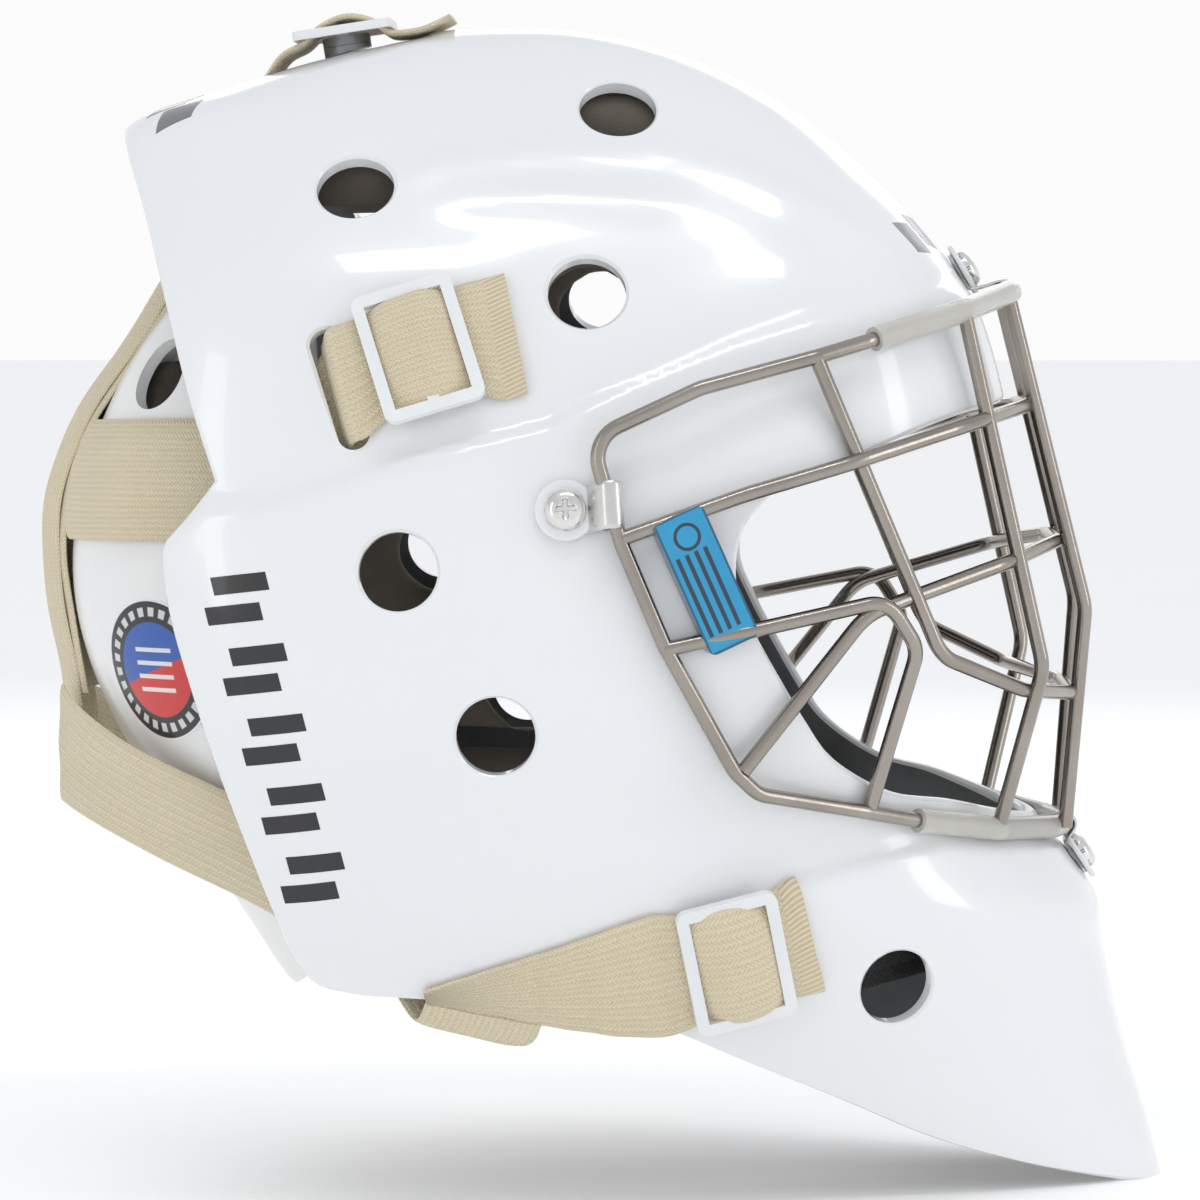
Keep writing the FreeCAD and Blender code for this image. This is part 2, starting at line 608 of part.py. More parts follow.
# ---- chin sling ----
CUP_MIDDLE = Vector(114, 0, -90)
SLING_ANCHOR = Vector(80, 66, -100)
SLING_WIDTH, SLING_THICK = 15.0, 1.6


def make_chin(shell):
    """A moulded chin cup that hangs between two webbing straps from studs inside the jaw."""
    outer = Part.makeSphere(27, CUP_MIDDLE).common(box(24, 54, 30, x=CUP_MIDDLE.x + 10, z=CUP_MIDDLE.z - 17))
    hollow = Part.makeSphere(23.5, CUP_MIDDLE)
    cup = outer.cut(hollow)
    lining = Part.makeSphere(23.3, CUP_MIDDLE).cut(Part.makeSphere(19, CUP_MIDDLE)).common(
        box(20, 44, 24, x=CUP_MIDDLE.x + 11.5, z=CUP_MIDDLE.z - 14))
    start = CUP_MIDDLE + Vector(1.5, 27.0, -4)
    run = SLING_ANCHOR - start
    flat_up = Vector(run.y, -run.x, 0)
    frame = local_frame(start + run * 0.5, run, flat_up)
    strap = placed(box(run.Length, SLING_WIDTH, SLING_THICK, z=0.2), frame)
    strap = strap.cut(outer)
    stud = cylinder(SLING_ANCHOR + outward(80, -100) * 7.5, outward(80, -100), 5.5, 7).cut(shell)
    stud = max(stud.Solids, key=lambda s: s.Volume)
    return {"chin_cup": max(cup.Solids, key=lambda s: s.Volume),
            "chin_cup_lining": max(lining.Solids, key=lambda s: s.Volume),
            "chin_strap_left": strap, "chin_strap_right": mirrored(strap), "chin_studs": both(stud)}


# ---- label round two cage wires, on the right side only ----
LABEL_MIDDLE, LABEL_DOWN, LABEL_SIZE = Vector(49.2, -105.7, 4.8), Vector(14.9, 1.4, -32.6), (37.0, 14.0, 5.4)


def make_label(wires):
    frame = local_frame(LABEL_MIDDLE, LABEL_DOWN, Vector(0.22, -1, 0))
    label = placed(rounded_box(*LABEL_SIZE, 2.0, z=-LABEL_SIZE[2] / 2), frame)
    for wire in wires.values():
        label = label.cut(wire)
    return max(label.Solids, key=lambda s: s.Volume)


if __name__ == "__main__":
    shell = make_shell()
    liner = make_liner()
    cage = make_cage()
    pieces = {"shell": shell}
    pieces.update(liner)
    pieces.update(cage)
    pieces.update(make_fasteners(shell, cage))
    pieces.update(make_backplate())
    pieces.update(make_side_straps())
    pieces.update(make_top(shell))
    pieces.update(make_chin(shell))
    pieces["cage_label"] = make_label(cage)
    for name, piece in pieces.items():
        write(name, piece)
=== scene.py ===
# %% [markdown]
# # A goalie mask, cell by cell
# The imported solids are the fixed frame. Hard parts whose shape is right keep their solids and get a finish here.
# The moulded shell, the straps, the foam and the printed marks are made again as finer surfaces in the same place.

# %% Load the frame
import math

import bmesh
import bpy
import numpy as np
from mathutils import Matrix, Vector


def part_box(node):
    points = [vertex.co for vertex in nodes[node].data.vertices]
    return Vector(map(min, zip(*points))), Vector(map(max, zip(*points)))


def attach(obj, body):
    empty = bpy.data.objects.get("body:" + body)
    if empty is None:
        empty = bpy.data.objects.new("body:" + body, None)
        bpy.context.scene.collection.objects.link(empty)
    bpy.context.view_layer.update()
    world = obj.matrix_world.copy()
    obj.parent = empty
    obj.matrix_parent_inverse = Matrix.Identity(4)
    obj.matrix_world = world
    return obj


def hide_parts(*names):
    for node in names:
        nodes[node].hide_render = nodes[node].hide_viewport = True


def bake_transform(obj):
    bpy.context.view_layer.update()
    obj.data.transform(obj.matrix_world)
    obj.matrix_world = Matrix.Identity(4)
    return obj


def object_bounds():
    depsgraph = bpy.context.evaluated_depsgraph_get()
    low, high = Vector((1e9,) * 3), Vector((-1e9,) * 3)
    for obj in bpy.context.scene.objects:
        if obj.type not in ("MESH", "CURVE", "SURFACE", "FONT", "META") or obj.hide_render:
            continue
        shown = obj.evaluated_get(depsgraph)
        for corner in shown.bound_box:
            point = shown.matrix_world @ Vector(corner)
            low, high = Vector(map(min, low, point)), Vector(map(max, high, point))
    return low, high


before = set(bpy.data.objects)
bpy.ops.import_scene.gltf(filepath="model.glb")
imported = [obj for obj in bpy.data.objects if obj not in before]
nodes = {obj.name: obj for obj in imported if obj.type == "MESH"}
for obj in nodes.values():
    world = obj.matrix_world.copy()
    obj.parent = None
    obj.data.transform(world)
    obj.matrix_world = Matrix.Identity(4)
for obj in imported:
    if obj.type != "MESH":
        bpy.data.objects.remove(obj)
cad_box = [list(corner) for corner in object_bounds()]
MM = 0.001
print("frame loaded:", len(nodes), "solids, from", cad_box[0], "to", cad_box[1])

# %% [markdown]
# ## Camera
# A long lens from the wearer's right, a little in front of the side and a little above, keeps the profile almost
# free of perspective. An empty target isn't needed: the camera is turned once, by a quaternion.

# %% Camera
AIM = Vector((19.25, 0, -5.5)) * MM
DISTANCE, TURN, RISE, LENS = 1600 * MM, math.radians(1.67), math.radians(2.785), 174.5
away = Vector((math.sin(TURN) * math.cos(RISE), -math.cos(TURN) * math.cos(RISE), math.sin(RISE)))
camera_data = bpy.data.cameras.new("camera")
camera_data.lens, camera_data.sensor_width = LENS, 36
camera_data.clip_start, camera_data.clip_end = 0.1, 100
camera = bpy.data.objects.new("camera", camera_data)
bpy.context.scene.collection.objects.link(camera)
camera.location = AIM + away * DISTANCE
camera.rotation_mode = "QUATERNION"
camera.rotation_quaternion = (-away).to_track_quat("-Z", "Y")
bpy.context.scene.camera = camera
print("camera at", [round(c, 3) for c in camera.location])

# %% [markdown]
# ## Shader arithmetic
# Node materials are sums of small patterns. Wrapping a socket in a class lets those sums be written as Python
# expressions, and one method adds every other kind of node.


# %% A socket that can be used in sums, and a finish that holds the nodes
class Value:
    """A node's output. Each arithmetic sign on it adds the Math node that the sign stands for."""

    def __init__(self, finish, socket):
        self.finish, self.socket = finish, socket

    def math(self, operation, other=0.0, swap=False):
        first, second = (other, self) if swap else (self, other)
        return self.finish.add("ShaderNodeMath", {"operation": operation}, {0: first, 1: second})

    def __add__(self, other):
        return self.math("ADD", other)

    def __sub__(self, other):
        return self.math("SUBTRACT", other)

    def __rsub__(self, other):
        return self.math("SUBTRACT", other, swap=True)

    def __mul__(self, other):
        return self.math("MULTIPLY", other)

    __radd__, __rmul__ = __add__, __mul__

    def size(self):
        return self.math("ABSOLUTE")

    def wave(self):
        """A sine of so many whole turns, from 0 to 1."""
        return (self * (2 * math.pi)).math("SINE") * 0.5 + 0.5

    def fraction(self):
        return self.math("FRACT")

    def below(self, limit, blur=0.02):
        """1 where the value is under the limit and 0 where it is over it, with a short slope between."""
        slope = (limit - self) * (1 / blur) + 0.5
        return slope.math("MAXIMUM", 0.0).math("MINIMUM", 1.0)


class Finish:
    """A material under construction. Constants go straight onto the surface shader's sockets."""

    def __init__(self, name, **constants):
        self.material = bpy.data.materials.new(name)
        self.material.use_nodes = True
        self.tree = self.material.node_tree
        self.shader = self.tree.nodes["Principled BSDF"]
        for socket, value in constants.items():
            self.shader.inputs[socket.replace("_", " ")].default_value = value

    def add(self, kind, settings=None, inputs=None, output=0):
        """A node of a kind, with its settings, then its sockets' values or links; its output is returned."""
        node = self.tree.nodes.new(kind)
        for key, value in (settings or {}).items():
            setattr(node, key, value)
        for key, value in (inputs or {}).items():
            if isinstance(value, Value):
                self.tree.links.new(value.socket, node.inputs[key])
            else:
                node.inputs[key].default_value = value
        return Value(self, node.outputs[output])

    def place(self):
        return self.add("ShaderNodeTexCoord", output="Object")

    def weave_place(self):
        """Millimetres along and across a strap, from its own UV map."""
        uv = self.add("ShaderNodeUVMap", {"uv_map": "weave"})
        return [self.add("ShaderNodeSeparateXYZ", None, {0: uv}, output) for output in ("X", "Y")]

    def noise(self, scale, detail=2.0, roughness=0.5):
        return self.add("ShaderNodeTexNoise", None, {"Vector": self.place(), "Scale": scale, "Detail": detail,
                                                     "Roughness": roughness}, "Fac")

    def toward(self, middle, direction):
        """Distance from a point along a direction, in metres."""
        offset = self.add("ShaderNodeVectorMath", {"operation": "SUBTRACT"}, {0: self.place(), 1: middle})
        return self.add("ShaderNodeVectorMath", {"operation": "DOT_PRODUCT"}, {0: offset, 1: direction}, "Value")

    def mix(self, factor, first, second):
        return self.add("ShaderNodeMix", {"data_type": "RGBA"}, {0: factor, 6: first, 7: second}, 2)

    def connect(self, **sockets):
        for name, value in sockets.items():
            self.tree.links.new(value.socket, self.shader.inputs[name.replace("_", " ")])
        return self

    def bump(self, height, depth):
        """Relief of so many metres where the height runs from 0 to 1."""
        return self.connect(Normal=self.add("ShaderNodeBump", None, {"Height": height, "Distance": depth,
                                                                     "Strength": 1.0}))

    def toned(self, colour, roughness, grain=None):
        """Colour between two tones and roughness above a least value, both by noise, then a fine grain in relief.

        The colour is a noise scale, its detail and two tones; the roughness is a scale, a detail, a spread and the
        least value; the grain is a scale, a detail and a depth in metres.
        """
        scale, detail, dark, light = colour
        shade = self.mix(self.noise(scale, detail), rgb(*dark), rgb(*light))
        scale, detail, spread, least = roughness
        self.connect(Base_Color=shade, Roughness=self.noise(scale, detail) * spread + least)
        if grain:
            self.bump(self.noise(*grain[:2]), grain[2])
        return self


def rgb(red, green, blue):
    return (red, green, blue, 1.0)


print("shader arithmetic ready")

# %% [markdown]
# ## Light and floor
# A gloss white object needs a bright room with a few brighter soft boxes, whose reflections draw its shape. The
# room's light comes from a pale world that is dimmer overhead, so that the soft boxes stand out in the gloss.

# %% Studio
floor_finish = Finish("pale_floor", Roughness=0.75, Emission_Color=(1, 1, 1, 1), Emission_Strength=0.2)
floor_tint = floor_finish.mix(floor_finish.noise(3.0), rgb(0.88, 0.88, 0.88), rgb(0.92, 0.92, 0.92))
floor_finish.connect(Base_Color=floor_tint)
FLOOR_HALF, FLOOR_GAP = 30.0, 0.002
floor_mesh = bpy.data.meshes.new("floor")
floor_mesh.from_pydata([(-FLOOR_HALF, -FLOOR_HALF, 0), (FLOOR_HALF, -FLOOR_HALF, 0), (FLOOR_HALF, FLOOR_HALF, 0),
                        (-FLOOR_HALF, FLOOR_HALF, 0)], [], [(0, 1, 2, 3)])
floor_mesh.transform(Matrix.Translation((0, 0, cad_box[0][2] - FLOOR_GAP)))
floor_mesh.materials.append(floor_finish.material)
floor = bpy.data.objects.new("floor", floor_mesh)
bpy.context.scene.collection.objects.link(floor)

world = bpy.data.worlds.new("pale_room")
world.use_nodes = True
room = world.node_tree
sky_direction = room.nodes.new("ShaderNodeTexCoord")
sky_axes = room.nodes.new("ShaderNodeSeparateXYZ")
sky = room.nodes.new("ShaderNodeValToRGB")
room.links.new(sky_direction.outputs["Generated"], sky_axes.inputs[0])
room.links.new(sky_axes.outputs["Z"], sky.inputs[0])
room.links.new(sky.outputs[0], room.nodes["Background"].inputs["Color"])
SKY_STOPS, SKY_STRENGTH = ((0.08, rgb(1.0, 1.0, 1.0)), (0.45, rgb(0.72, 0.74, 0.77))), 0.97
for stop, (position, colour) in zip(sky.color_ramp.elements, SKY_STOPS):
    stop.position, stop.color = position, colour
room.nodes["Background"].inputs["Strength"].default_value = SKY_STRENGTH
bpy.context.scene.world = world
bpy.context.scene.view_settings.view_transform = "Standard"


def soft_box(name, place, target, width, height, watts):
    """A rectangular area light at a place, facing a target."""
    data = bpy.data.lights.new(name, "AREA")
    data.shape, data.size, data.size_y, data.energy = "RECTANGLE", width, height, watts
    box = bpy.data.objects.new(name, data)
    box.location = place
    box.rotation_mode = "QUATERNION"
    box.rotation_quaternion = (Vector(target) - Vector(place)).to_track_quat("-Z", "Y")
    bpy.context.scene.collection.objects.link(box)


SOFT_BOXES = (("top_box", (0.15, -0.7, 1.5), (0, 0, 0.05), 1.0, 0.18, 3.6),
              ("side_box", (-1.3, -1.5, 0.5), (0, 0, 0), 0.2, 1.2, 1.8),
              ("front_box", (1.7, -0.6, 0.5), (0.1, 0, 0), 0.25, 1.0, 2.6),
              ("far_box", (0.2, 1.7, 0.8), (0, 0, 0), 1.4, 0.7, 4.0))
for settings in SOFT_BOXES:
    soft_box(*settings)
print("studio with", len(SOFT_BOXES), "soft boxes")

# %% [markdown]
# ## Surfaces from grids
# Every new piece is a grid of points worked out at once with numpy. The faces only join each point to its
# neighbours, so one function makes them all, whether the grid is open or closes on itself.


# %% Grid faces and meshes
SIDES = (("left", 1), ("right", -1))  # each side's name and the sign of its Y


def unit(vectors):
    """Each vector over its own length, so that only its direction is left."""
    return vectors / np.maximum(np.linalg.norm(vectors, axis=-1, keepdims=True), 1e-9)


def lengths_along(points):
    """Distance along a line from its first point to each of its points: the sum of the steps so far."""
    return np.concatenate([[0], np.cumsum(np.linalg.norm(np.diff(points, axis=0), axis=-1))])


def grid_faces(rows, columns, loop_rows=False, loop_columns=False):
    """The quads of a grid: each point with the next one in its row and the same two in the next row."""
    row, column = np.meshgrid(np.arange(rows if loop_rows else rows - 1),
                              np.arange(columns if loop_columns else columns - 1), indexing="ij")
    below, beside = (row + 1) % rows, (column + 1) % columns
    quads = np.stack([row * columns + column, row * columns + beside, below * columns + beside,
                      below * columns + column], -1)
    return quads.reshape(-1, 4)


def new_piece(name, points, faces, *finishes, weave=None, inner=None, corner=40):
    """A mesh object from points in millimetres, with smooth shading that breaks at sharp corners."""
    mesh = bpy.data.meshes.new(name)
    mesh.from_pydata((points.reshape(-1, 3) * MM).tolist(), [], faces.tolist())
    for finish in finishes:
        mesh.materials.append(finish.material)
    if inner is not None:
        mesh.polygons.foreach_set("material_index", inner.astype(np.int32))
    if weave is not None:
        corners = np.zeros(len(mesh.loops), np.int32)
        mesh.loops.foreach_get("vertex_index", corners)
        mesh.uv_layers.new(name="weave").data.foreach_set("uv", weave.reshape(-1, 2)[corners].ravel())
    shape = bmesh.new()
    shape.from_mesh(mesh)
    bmesh.ops.recalc_face_normals(shape, faces=shape.faces)
    shape.to_mesh(mesh)
    shape.free()
    mesh.shade_smooth()
    mesh.set_sharp_from_angle(angle=math.radians(corner))
    piece = bpy.data.objects.new(name, mesh)
    bpy.context.scene.collection.objects.link(piece)
    print(f"{name}: {len(mesh.polygons)} faces")
    return piece


def normals_of(grid, loop_rows=False):
    """Unit normals of a grid: the cross product of its slopes along the rows and along the columns."""
    if loop_rows:
        along = np.roll(grid, -1, 0) - np.roll(grid, 1, 0)
    else:
        along = np.gradient(grid, axis=0)
    return unit(np.cross(along, np.gradient(grid, axis=1)))


print("a grid of 4 by 5 points has", len(grid_faces(4, 5)), "faces, and closed both ways",
      len(grid_faces(4, 5, True, True)))

# %% [markdown]
# ## The shell as one formula
# The shell is a stack of superellipses: boxy at the brow and plain at the chin. Its sizes are listed at a few
# heights and joined by cubics through their squares, because the square falls evenly to nothing at the crown.

# %% Sections of the shell
WALL = 4.0
SHELL_SECTIONS = np.array([  # height, foremost X, rearmost X, half width
    (-172, 176, 60, 52), (-150, 170.5, 72, 65), (-125, 163, 86, 77), (-100, 157.5, 98, 89), (-86, 155, 106, 94),
    (-73, 146, 112, 97), (-60, 138.5, 116, 99.5), (-36, 137.5, 121, 104.5), (0, 136, 126, 105.5),
    (30, 132.5, 128, 101), (55, 128.5, 128, 94.5), (80, 119.5, 125, 85), (100, 104.5, 119.5, 72),
    (117, 87, 114, 58), (127, 74.5, 105, 49), (134, 63, 84, 42), (142, 46, 58, 32), (148, 25, 31, 22),
    (150.7, 8, 19, 10), (151.2, 0, 0, 0)])
REAR_POWER, CHIN_POWER, BROW_POWER_RISE = 3.2, 2.0, 0.9  # exponents: rear, chin, and how much more at the brow
OUTSIDE, HALVINGS = 280.0, 34  # a distance past the whole shell, and how often it is halved


def smooth_between(places, values, at):
    """A cubic through listed values, whose slope at each one is the weighted mean of the runs beside it."""
    gap = np.diff(places)
    run = np.diff(values) / gap
    inner = (run[:-1] * gap[1:] + run[1:] * gap[:-1]) / (gap[1:] + gap[:-1])
    slope = np.concatenate([run[:1], inner, run[-1:]])
    at = np.clip(at, places[0], places[-1])
    first = np.clip(np.searchsorted(places, at) - 1, 0, len(gap) - 1)
    width = gap[first]
    part = (at - places[first]) / width
    start, end = values[first], values[first + 1]
    return ((1 + 2 * part) * (1 - part) ** 2 * start + part * (1 - part) ** 2 * width * slope[first]
            + part ** 2 * (3 - 2 * part) * end + part ** 2 * (part - 1) * width * slope[first + 1])


def smooth_line(points, count):
    """A smooth line through listed points, at even steps of its length: one cubic for each coordinate."""
    points = np.array(points, float)
    length = lengths_along(points)
    at = np.linspace(0, length[-1], count)
    return np.stack([smooth_between(length, column, at) for column in points.T], -1)


def section(x, z):
    """Reach towards the front or rear, half width and exponent of the superellipse at each height."""
    squares = [smooth_between(SHELL_SECTIONS[:, 0], SHELL_SECTIONS[:, k] ** 2, z) for k in (1, 2, 3)]
    front, rear, side = [np.sqrt(np.maximum(s, 1e-6)) for s in squares]
    power = np.where(x > 0, CHIN_POWER + BROW_POWER_RISE * np.clip((z + 60) / 100, 0, 1), REAR_POWER)
    return np.where(x > 0, front, rear), side, power


def fullness(points):
    """1 on the plain shell, less inside it: the sum of both coordinates over their reach, to the exponent."""
    x, y, z = np.moveaxis(points, -1, 0)
    reach, side, power = section(x, z)
    inside = np.abs(x / reach) ** power + np.abs(y / side) ** power
    return np.where(z > SHELL_SECTIONS[-1, 0], 4.0, inside)


def side_of(x, z):
    """Half width of the plain shell at X and Z."""
    reach, side, power = section(x, z)
    return side * np.maximum(1 - np.abs(x / reach) ** power, 0) ** (1 / power)


def onto_shell(points):
    """Each point moved along its line from the middle of the head to the plain shell, by halving the distance."""
    direction = unit(points)
    low, high = np.zeros(points.shape[:-1]), np.full(points.shape[:-1], OUTSIDE)
    for _ in range(HALVINGS):
        middle = (low + high) / 2
        inside = fullness(direction * middle[..., None]) < 1
        low, high = np.where(inside, middle, low), np.where(inside, high, middle)
    return direction * low[..., None]


def shell_normals(points, step=0.6):
    """The direction in which fullness rises fastest, from small steps along each axis."""
    rises = [fullness(points + axis) - fullness(points - axis) for axis in np.eye(3) * step]
    return unit(np.stack(rises, -1))


print("brow reach", round(float(section(np.array(1.0), np.array(55.0))[0]), 1), "mm")

# %% [markdown]
# ## Moulded lines
# A real shell is stiffened by soft steps and ridges. They are heights added along the normal, and they fade out
# away from their line, so that the straps and fittings still lie at the height that the frame gives them.

# %% Relief of the shell
EAR_LINE = np.array([(-95, 11), (-81, 23.7), (-65, 24.2), (-30, 35), (9.4, 44.9), (19, 50), (57, 66), (100, 80)])
CHIN_LINE = np.array([(55, -80), (72.8, -74.7), (112, -66.6), (138.5, -70.2), (170, -72)])
UPPER_RIDGE = np.array([(-28.2, 111), (3.3, 115.5), (37.7, 116), (59.1, 109.9), (100.3, 89)])
LOWER_RIDGE = np.array([(-18.4, 103.7), (9.7, 104.7), (35.8, 102.6)])
SCOOP_LINE = np.array([(0, 78), (18, 80), (70, 88)])


def ease(part):
    """0 below 0, 1 above 1, and between them three squares less two cubes, which starts and ends level."""
    part = np.clip(part, 0, 1)
    return part * part * (3 - 2 * part)


def above(line, x, z):
    """Height of a point over a line in the side view."""
    return z - np.interp(x, line[:, 0], line[:, 1])


def window(x, start, end, run=14.0):
    """1 between two places and 0 outside them, with an eased run at each end."""
    return ease((x - start) / run) * ease((end - x) / run)


def relief(points):
    """Height of the moulded lines in millimetres: eased steps, which fade on both sides, and rounded ridges."""
    x, y, z = np.moveaxis(points, -1, 0)
    width = ease(np.abs(y) / 40)
    ear, chin = above(EAR_LINE, x, z), above(CHIN_LINE, x, z)
    height = -1.7 * np.tanh(ear / 2.2) * np.exp(-np.abs(ear) / 26) * width * (1 - 0.35 * ease((x - 15) / 20))
    height = height - 1.3 * np.tanh(chin / 2.4) * np.exp(-np.abs(chin) / 18) * ease((x - 52) / 20)
    for line, start, end, rise in ((UPPER_RIDGE, -42, 112, 1.5), (LOWER_RIDGE, -32, 52, 1.1)):
        across = above(line, x, z) / 4.5
        height = height + rise * np.exp(-across ** 2) * window(x, start, end, 22) * width
    scoop = above(SCOOP_LINE, x, z) / 13
    return height - 1.3 * np.exp(-scoop ** 2) * window(x, -16, 78, 30) * width


def shell_skin(points, lift=0.0):
    """Points on the moulded outside of the shell, raised by a lift along the normal."""
    plain = onto_shell(points)
    normal = shell_normals(plain)
    return plain + normal * (relief(plain) + lift)[..., None]


print("step over the ear line", round(float(np.ptp(relief(np.array([[-30, 100, 31], [-30, 100, 39.0]])))), 2), "mm")

# %% [markdown]
# ## From the face opening to the outer edge
# Seen along the wearer's line of sight the shell is a ring: the face opening is its hole and the rear and throat
# edges are its outline. Directions are laid out flat by their angle from straight ahead, the ring is filled between
# its two edges, and every direction is carried out to the formula's surface. The wall is the same grid moved in,
# and both edges are closed by a rounded lip, so the whole shell is one closed skin.

# %% Edges of the shell
FACE_EDGE = np.array([(133, 50.3), (116, 46.6), (91, 37), (66, 26), (59.5, 18), (57.7, 10), (58, 1.6), (62, -8),
                      (69, -21), (76, -33), (82, -42), (91, -49), (99, -53), (115.5, -56), (128, -59),
                      (139, -61.5)])
OUTER_EDGE = [[(-111, 124), (-100.5, 99.5), (-93, 75.5), (-86, 51), (-79, 30)], [(-79, 30), (-92, 13.5)],
              [(-92, 13.5), (-91, 0), (-84, -27), (-71, -65), (-60, -93)], [(-60, -93), (-54, -102), (-43, -105)],
              [(-43, -105), (0, -108), (37, -114), (57, -123), (84, -135), (112, -148), (133, -155), (174, -165)]]
AROUND, ACROSS, INNER_ROWS, LIP, LIP_STEPS = 190, 118, 46, 1.7, 5
JOINED_SHARES = ((0, 0.28, 0.5, 1), (0, 0.40, 0.60, 1))  # shares of the outer edge, and of the face edge opposite


def curve_through(points, steps=40):
    """A smooth line through side-view points, with so many steps for each of its runs."""
    return smooth_line(points, steps * (len(points) - 1) + 1)


def half_loop(side_view, shares):
    """Points of a side-view line on the shell's left half, at shares of its length from the top to the bottom."""
    x, z = side_view.T
    y = side_of(x, z)
    on = np.flatnonzero(y > 0)
    kept = slice(max(on[0] - 1, 0), min(on[-1] + 2, len(x)))
    points = onto_shell(np.stack([x, y, z], -1)[kept])
    points[[0, -1], 1] = 0
    length = lengths_along(points)
    return np.stack([np.interp(shares * length[-1], length, column) for column in points.T], -1)


def flat_map(points):
    """Directions laid out flat: the angle from straight ahead is the distance from the middle."""
    ray = unit(points)
    angle = np.arccos(np.clip(ray[:, 0], -1, 1))
    return ray[:, 1:] * (angle / np.maximum(np.hypot(ray[:, 1], ray[:, 2]), 1e-9))[:, None]


def from_map(flat):
    """The way back: cosine of the distance straight ahead, and its sine along the flat direction."""
    angle = np.linalg.norm(flat, axis=-1)
    return np.concatenate([np.cos(angle)[..., None], flat * np.sinc(angle / np.pi)[..., None]], -1)


def lip(edge, normal, outwards):
    """A rounded edge: half an ellipse as deep as the lip and as high as the wall, from outside to inside."""
    middle = edge - normal * WALL / 2 - outwards * LIP
    turn = np.linspace(0, np.pi, LIP_STEPS + 2)[:, None, None]
    return middle + normal * np.cos(turn) * WALL / 2 + outwards * np.sin(turn) * LIP


def make_shell(painted, bare):
    """The closed skin: outside rows, rear lip, inside rows, face lip. Bare plastic covers the inside rows."""
    share = np.linspace(0, 1, AROUND + 1)
    outer_line = np.concatenate([curve_through(run) for run in OUTER_EDGE])
    opening = flat_map(half_loop(curve_through(FACE_EDGE), np.interp(share, *JOINED_SHARES)))
    outline = flat_map(half_loop(outer_line, share))
    across = np.linspace(0, 1, ACROSS)[:, None, None]
    left = opening * (1 - across) + outline * across
    right = left[:, -2:0:-1] * np.array([-1, 1])
    ring = from_map(np.concatenate([left, right], 1))
    outside = shell_skin(ring * 100)
    normal = -np.swapaxes(normals_of(np.swapaxes(outside, 0, 1), loop_rows=True), 0, 1)
    if np.sum(normal * outside) < 0:
        normal = -normal
    inward = np.linspace(ACROSS - 1, 0, INNER_ROWS).round().astype(int)
    ends = {}
    for row, nearer in ((0, 3), (ACROSS - 1, ACROSS - 4)):
        run = outside[row] - outside[nearer]
        run -= normal[row] * np.sum(run * normal[row], -1, keepdims=True)
        ends[row] = lip(outside[row], normal[row], unit(run))
    inside = (outside - normal * WALL)[inward]
    rows = np.concatenate([outside[1:-1], ends[ACROSS - 1], inside[1:-1], ends[0][::-1]])
    faces = grid_faces(len(rows), rows.shape[1], True, True)
    row_of = faces[:, 0] // rows.shape[1]
    first = ACROSS - 2 + LIP_STEPS
    is_bare = (row_of >= first) & (row_of < first + INNER_ROWS)
    return new_piece("mask_shell", rows, faces, painted, bare, inner=is_bare)


print("outer edge in", len(OUTER_EDGE), "runs, face opening through", len(FACE_EDGE), "points")

# %% [markdown]
# ## Painted shell
# White gloss paint over moulded composite: nearly even in colour, a clear coat on top, and the faint orange-peel
# that sprayed paint dries with. Inside, the bare composite is dark and dull.

# %% Shell finishes
gloss_white = Finish("gloss_white", Coat_Weight=0.55, Coat_Roughness=0.04, Specular_IOR_Level=0.5)
tint = gloss_white.mix(gloss_white.noise(9.0, 3), rgb(0.82, 0.835, 0.85), rgb(0.87, 0.88, 0.89))
gloss_white.connect(Base_Color=tint, Roughness=gloss_white.noise(40.0, 4) * 0.10 + 0.16)
gloss_white.bump(gloss_white.noise(330.0, 1) + gloss_white.noise(60.0, 1) * 2, 0.00002)

bare_inside = Finish("bare_composite", Specular_IOR_Level=0.4).toned(
    (120.0, 4, (0.10, 0.105, 0.11), (0.17, 0.175, 0.18)), (80.0, 3, 0.2, 0.45), (700.0, 2, 0.00005))

shell = make_shell(gloss_white, bare_inside)

# %% [markdown]
# ## Vents and slots
# Holes are cut last, from the finished wall, as they are in the factory. Each cutter is a round or long outline
# carried through the wall, a little wider at the outside, which leaves the small chamfer that catches the light.

# %% Cut the vents
VENT = 20.5
SIDE_VENTS = ((-29.7, 6.8), (-4.6, -35.8), (18.3, 79.6), (-43.3, 106.7), (25.4, 128.0), (99.7, -104.5))
SIDE_SLOT, SLOT_WIDTH = ((-49.5, 65.5), (-41.8, 42.5)), 8.5
TOP_SLOT_X, TOP_SLOT_LENGTH, TOP_SLOT_WIDTH = -69.0, 34.0, 7.0
TOP_SLOT_HEIGHT = 138.0
SHELL_CORNER = 28  # degrees past which an edge of the shell is shown sharp
CUT_PROFILE = ((-16, 0), (-0.9, 0), (0.6, 1.5), (14, 1.5))  # depth along the normal, extra radius


def side_frame(x, z, mirror=1):
    """A point of the moulded shell at X and Z on one side, with its unit normal."""
    plain = np.array([x, mirror * float(side_of(np.array(float(x)), np.array(float(z)))), z])
    return shell_skin(plain), shell_normals(plain)


